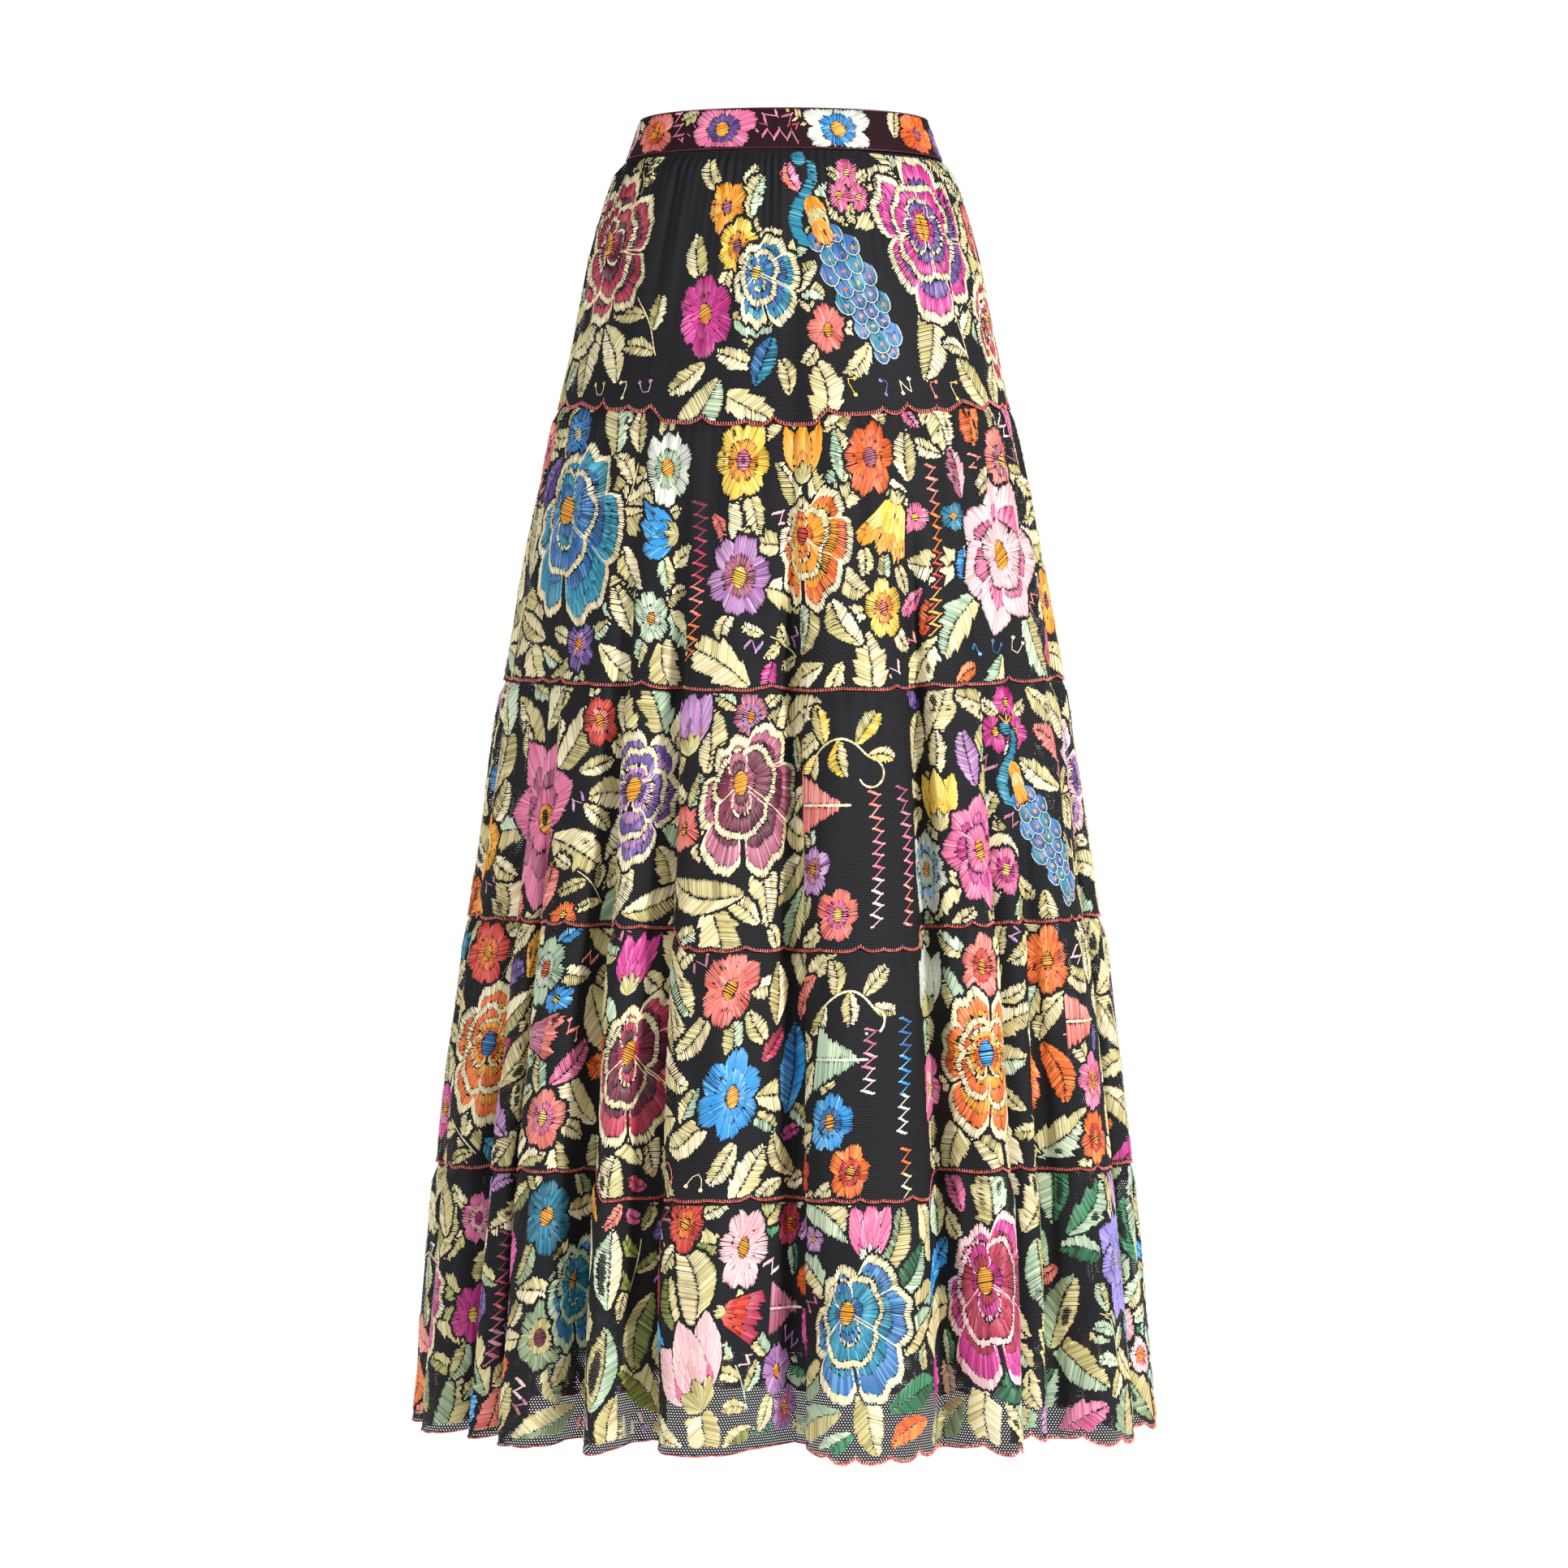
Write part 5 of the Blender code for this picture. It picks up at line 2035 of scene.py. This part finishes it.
@dataclass
class Edging:
    """Buttonhole stitch along a tier's scalloped edge, in coral and red thread."""

    pitch_mm: float = 2.1
    leg_mm: float = 2.3
    seed: int = 23

    def book_for(self, surface: TierSurface) -> StitchBook:
        """Works the legs and the purled edge of one tier."""
        rng = np.random.default_rng(self.seed + surface.number)
        book = StitchBook(surface)
        hem = surface.number == len(SEAMS)
        for half in (0, 1):
            count = int(surface.length_at(EDGE_AT_MM, half) / self.pitch_mm)
            u = half + np.arange(count + 1) / count
            down = np.full_like(u, EDGE_AT_MM)
            for _ in range(3):
                down = surface.height_mm(surface.angle_at(np.mod(u, 2.0), down))
            degrees = np.degrees(surface.angle_at(np.mod(u, 2.0), down))
            bright = eased((degrees - 2.0) / 3.0) if hem else np.ones_like(degrees)
            leg = self.leg_mm * (0.55 + 0.75 * bright if hem else 1.15 if surface.number == 1 else 0.8)
            start = np.stack((u, down - leg), -1)
            end = np.stack((u + rng.normal(0, 0.15, len(u)) / 1000, down + 0.35), -1)
            width = (1.15 if hem else 0.85) * rng.uniform(0.85, 1.15, len(u))
            tone = rng.integers(0, TONES, len(u))
            coral = bright > 0.5
            for chosen, shade in ((coral, Floss.SALMON), (~coral, Floss.BURGUNDY)):
                if chosen.any():
                    book.write(start[chosen], end[chosen], width[chosen], 0.2, tone[chosen], shade)
            purl = np.stack((u, down + 0.1), -1)
            for chosen, shade in ((coral[:-1], Floss.SALMON if hem else Floss.RED), (~coral[:-1], Floss.RED)):
                if chosen.any():
                    tone = rng.integers(0, TONES, int(chosen.sum()))
                    book.write(purl[:-1][chosen], purl[1:][chosen] + (0.0002, 0.0), 0.95, 0.4, tone, shade)
        return book

    def dress(self, surface: TierSurface) -> list[Object]:
        """Makes the edging of one tier as a front piece and a back piece."""
        made = ThreadLoft(crown_mm=0.45).pair(surface.number, "edging", self.book_for(surface))
        for item in made:
            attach(item, BODY)
        return made


@dataclass
class Waistband:
    """The firm band round the waist, open at the wearer's left side."""

    form: SkirtForm
    columns: int = 300
    round_mm: float = 0.9
    stitch_mm: float = 3.2
    side_radius_m: float = 0.1
    mean_radius_m: float = 0.12
    map_top_m: float = 0.1
    seed: int = 5

    def section(self) -> list[Place]:
        """Lists the section's corners as inset and height, from the top edge down the face and back."""
        r = self.round_mm * MM
        half, thick = BAND_HEIGHT / 2, BAND_THICKNESS
        turns = [(math.sin(math.radians(a)), math.cos(math.radians(a))) for a in (0, 45, 90)]
        corners = [(thick / 2, half)]
        corners += [(r - r * s, half - r + r * c) for s, c in turns]
        corners += [(0.0, half * k) for k in (0.5, 0.0, -0.5)]
        corners += [(r - r * c, -half + r - r * s) for s, c in turns]
        corners += [(thick - r + r * s, -half + r - r * c) for s, c in turns]
        corners += [(thick, half * k) for k in (-0.5, 0.0, 0.5)]
        corners += [(thick - r + r * c, half - r + r * s) for s, c in turns]
        return corners

    def build(self) -> Object:
        """Lofts the band's section round the waist and closes its ends."""
        short = SEAM_GAP / 2 / self.side_radius_m
        turn = np.linspace(math.pi / 2 + short, 5 * math.pi / 2 - short, self.columns)
        rows, maps = [], []
        for number, (inset, height) in enumerate(self.section()):
            z = np.full_like(turn, height)
            point, outward = self.form.plan(turn, z)
            rows.append(np.concatenate((point - outward * inset, z[:, None]), -1))
            level = np.full_like(turn, self.map_top_m - height + number * 1e-6)
            maps.append(np.stack(((turn - turn[0]) * self.mean_radius_m, level), -1))
        count = len(rows)
        grid = np.arange(count * self.columns).reshape(count, self.columns)
        closed = np.concatenate((grid, grid[:1]))
        corners = (closed[:-1, :-1], closed[1:, :-1], closed[1:, 1:], closed[:-1, 1:])
        quads = np.stack(corners, -1).reshape(-1, 4)
        ends = []
        for column, way in ((0, 1), (self.columns - 1, -1)):
            loop = grid[:, column][::way]
            for k in range(1, count // 2):
                ends.append((loop[k - 1], loop[k], loop[count - 1 - k], loop[(count - k) % count]))
        quads = np.concatenate((quads, np.array(ends)))
        points, uv = np.concatenate(rows), np.concatenate(maps)
        item = build_mesh("waistband_cloth", points, quads, [BandFinish().build()], None, "cloth", uv)
        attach(item, BODY)
        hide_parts("waistband")
        LOG.info("%s: %d faces", item.name, len(item.data.polygons))
        return item

    def edge_stitches(self, surface: BandSurface) -> Object:
        """Works the dark red line along the band's top and bottom seams."""
        rng = np.random.default_rng(self.seed)
        book = StitchBook(surface)
        for down, width in ((0.8, 1.0), (34.2, 0.8)):
            for half in (0, 1):
                count = int(surface.length_at(down, half) / self.stitch_mm)
                u = half + np.arange(count) / count
                start = np.stack((u, np.full(count, down)), -1)
                end = np.stack((u + 0.85 / count, down + rng.normal(0, 0.12, count)), -1)
                book.write(start, end, width, 0.1, rng.integers(0, 2, count), Floss.BURGUNDY)
        item = ThreadLoft(crown_mm=0.4).build("waistband_edging", book)
        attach(item, BODY)
        return item


@dataclass
class Slip:
    """The plain black slip, a front and a back sheet joined at the sides, with a turned hem."""

    form: SkirtForm
    columns: int = 170
    rows: int = 28
    hem_turn: float = 0.014

    def build(self) -> list[Object]:
        """Makes both sheets and puts them in place of the slip's solids."""
        finish = SlipFinish().build()
        made = []
        top = LINING_EASE[0].z
        fold_line = LINING_HEM + self.hem_turn
        levels = [(z, 0.0) for z in (*np.linspace(top, fold_line, self.rows), LINING_HEM)]
        levels += [(LINING_HEM - 0.0002, 0.0006), (fold_line, 0.0009)]
        for half, side in enumerate(("front", "back")):
            start = -math.pi / 2 + half * math.pi
            angle = np.linspace(start + 0.001, start + math.pi - 0.001, self.columns)
            rows = []
            for z, inward in levels:
                crease = 0.0016 * np.sin(31 * angle + 3.0 * np.sin(4 * angle) + 9 * z)
                crease = crease * eased(np.array((-z - 0.1) / 0.4))
                puckers = 0.0006 * np.sin(90 * angle + 2 * np.sin(9 * angle)) * math.exp((z - top) / 0.05)
                seam = 0.0004 if abs(z - LINING_HEM - self.hem_turn) < 1e-6 and not inward else 0.0
                level = np.full_like(angle, z)
                points = self.form.lining(angle, level, inward)
                points[:, :2] += self.form.plan(angle, level)[1] * (crease + puckers - seam)[:, None]
                rows.append(points)
            quads = grid_quads(len(rows), self.columns)
            item = build_mesh(f"slip_{side}", np.concatenate(rows), quads, [finish])
            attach(item, BODY)
            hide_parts(*(f"lining_{cut}_{side}" for cut in ("yoke", "middle", "lower")))
            LOG.info("%s: %d faces", item.name, len(item.data.polygons))
            made.append(item)
        return made


@dataclass
class Studio:
    """White paper round the skirt on all sides, soft lights and the camera."""

    floor_z: float = -1.33
    paper_radius_m: float = 8.0
    bend_radius_m: float = 1.0
    paper_height_m: float = 2.8
    camera_at: tuple[float, float, float] = (0.0, -4.67, -0.5424)
    lens_mm: float = 127.0

    def sweep(self) -> Object:
        """Lays a round paper floor that bends up into a low wall, the same from every side."""
        radius, bend = self.paper_radius_m, self.bend_radius_m
        arc = np.linspace(0.0, math.pi / 2, 10)
        profile = [(0.001, 0.0), (1.5, 0.0)]
        profile += [(radius - bend + bend * math.sin(a), bend - bend * math.cos(a)) for a in arc]
        profile.append((radius, self.paper_height_m))
        turns = np.radians(np.arange(0, 360, 5))
        level = np.full_like(turns, self.floor_z)
        rings = [np.stack((r * np.cos(turns), r * np.sin(turns), level + z), -1) for r, z in profile]
        quads = grid_quads(len(profile), len(turns), True)
        item = build_mesh("paper_sweep", np.concatenate(rings), quads, [BackdropFinish().build()])
        item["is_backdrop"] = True
        return item

    def light(self, name: str, at: tuple[float, float, float], size: float, power: float) -> None:
        """Hangs one square soft light that faces the skirt."""
        lamp = bpy.data.lights.new(name, "AREA")
        lamp.shape = "SQUARE"
        lamp.size = size
        lamp.energy = power
        item = bpy.data.objects.new(name, lamp)
        item.location = at
        item.rotation_euler = (Vector(LIT_POINT) - Vector(at)).to_track_quat("-Z", "Y").to_euler()
        bpy.context.scene.collection.objects.link(item)

    def build(self) -> None:
        """Makes the paper, the lights, the white surroundings and the camera."""
        self.sweep()
        self.light("key_softbox", (3.3, -3.1, 1.2), 0.7, 215.0)
        self.light("fill_softbox", (-3.3, -3.0, 0.6), 0.8, 56.0)
        self.light("front_softbox", (0.3, -4.2, 0.6), 1.0, 12.0)
        world = bpy.data.worlds.new("white_room")
        world.use_nodes = True
        world.node_tree.nodes["Background"].inputs["Color"].default_value = (1.0, 1.0, 1.0, 1.0)
        world.node_tree.nodes["Background"].inputs["Strength"].default_value = 0.04
        scene = bpy.context.scene
        scene.world = world
        scene.view_settings.view_transform = "Standard"
        lens = bpy.data.cameras.new("camera")
        lens.lens = self.lens_mm
        lens.sensor_width = 36.0
        lens.clip_end = 50.0
        lens.dof.use_dof = False
        camera = bpy.data.objects.new("camera", lens)
        camera.location = self.camera_at
        camera.rotation_euler = (math.pi / 2, 0.0, 0.0)
        scene.collection.objects.link(camera)
        scene.camera = camera


def write_sizes() -> None:
    """Gathers the solids' box and the dressed skirt's box into a table, which is not kept."""
    boxes = {"cad": CAD_BOX, "visual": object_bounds()}
    {name: [list(corner) for corner in corners] for name, corners in boxes.items()}


def finish_zip() -> None:
    """Gives the zip's tape its woven finish."""
    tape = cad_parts["side_zip"]
    tape.data.materials.clear()
    tape.data.materials.append(ZipFinish().build())


def main() -> None:
    """Dresses the skirt piece by piece, then lights it."""
    logging.basicConfig(level=logging.INFO, format="%(message)s")
    form = SkirtForm()
    band_surface = BandSurface(form)
    waistband = Waistband(form)
    waistband.build()
    embroidery = Embroidery()
    embroidery.dress_band(band_surface)
    waistband.edge_stitches(band_surface)
    for sheet in Slip(form).build():
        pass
    finish_zip()
    for number in range(1, len(SEAMS) + 1):
        surface = TierSurface(form, number)
        tier = NetTier(surface)
        sheets = tier.build()
        threads = embroidery.dress_tier(surface)
        edges = Edging().dress(surface)
        for half, (side, sheet) in enumerate(zip(("front", "back"), sheets)):
            flat = tier.flat_size(half)
            LOG.info("%s: %d faces, cut %.3f x %.3f m", sheet.name, len(sheet.data.polygons), *flat)
    Studio().build()
    write_sizes()


if __name__ == "__main__":
    main()
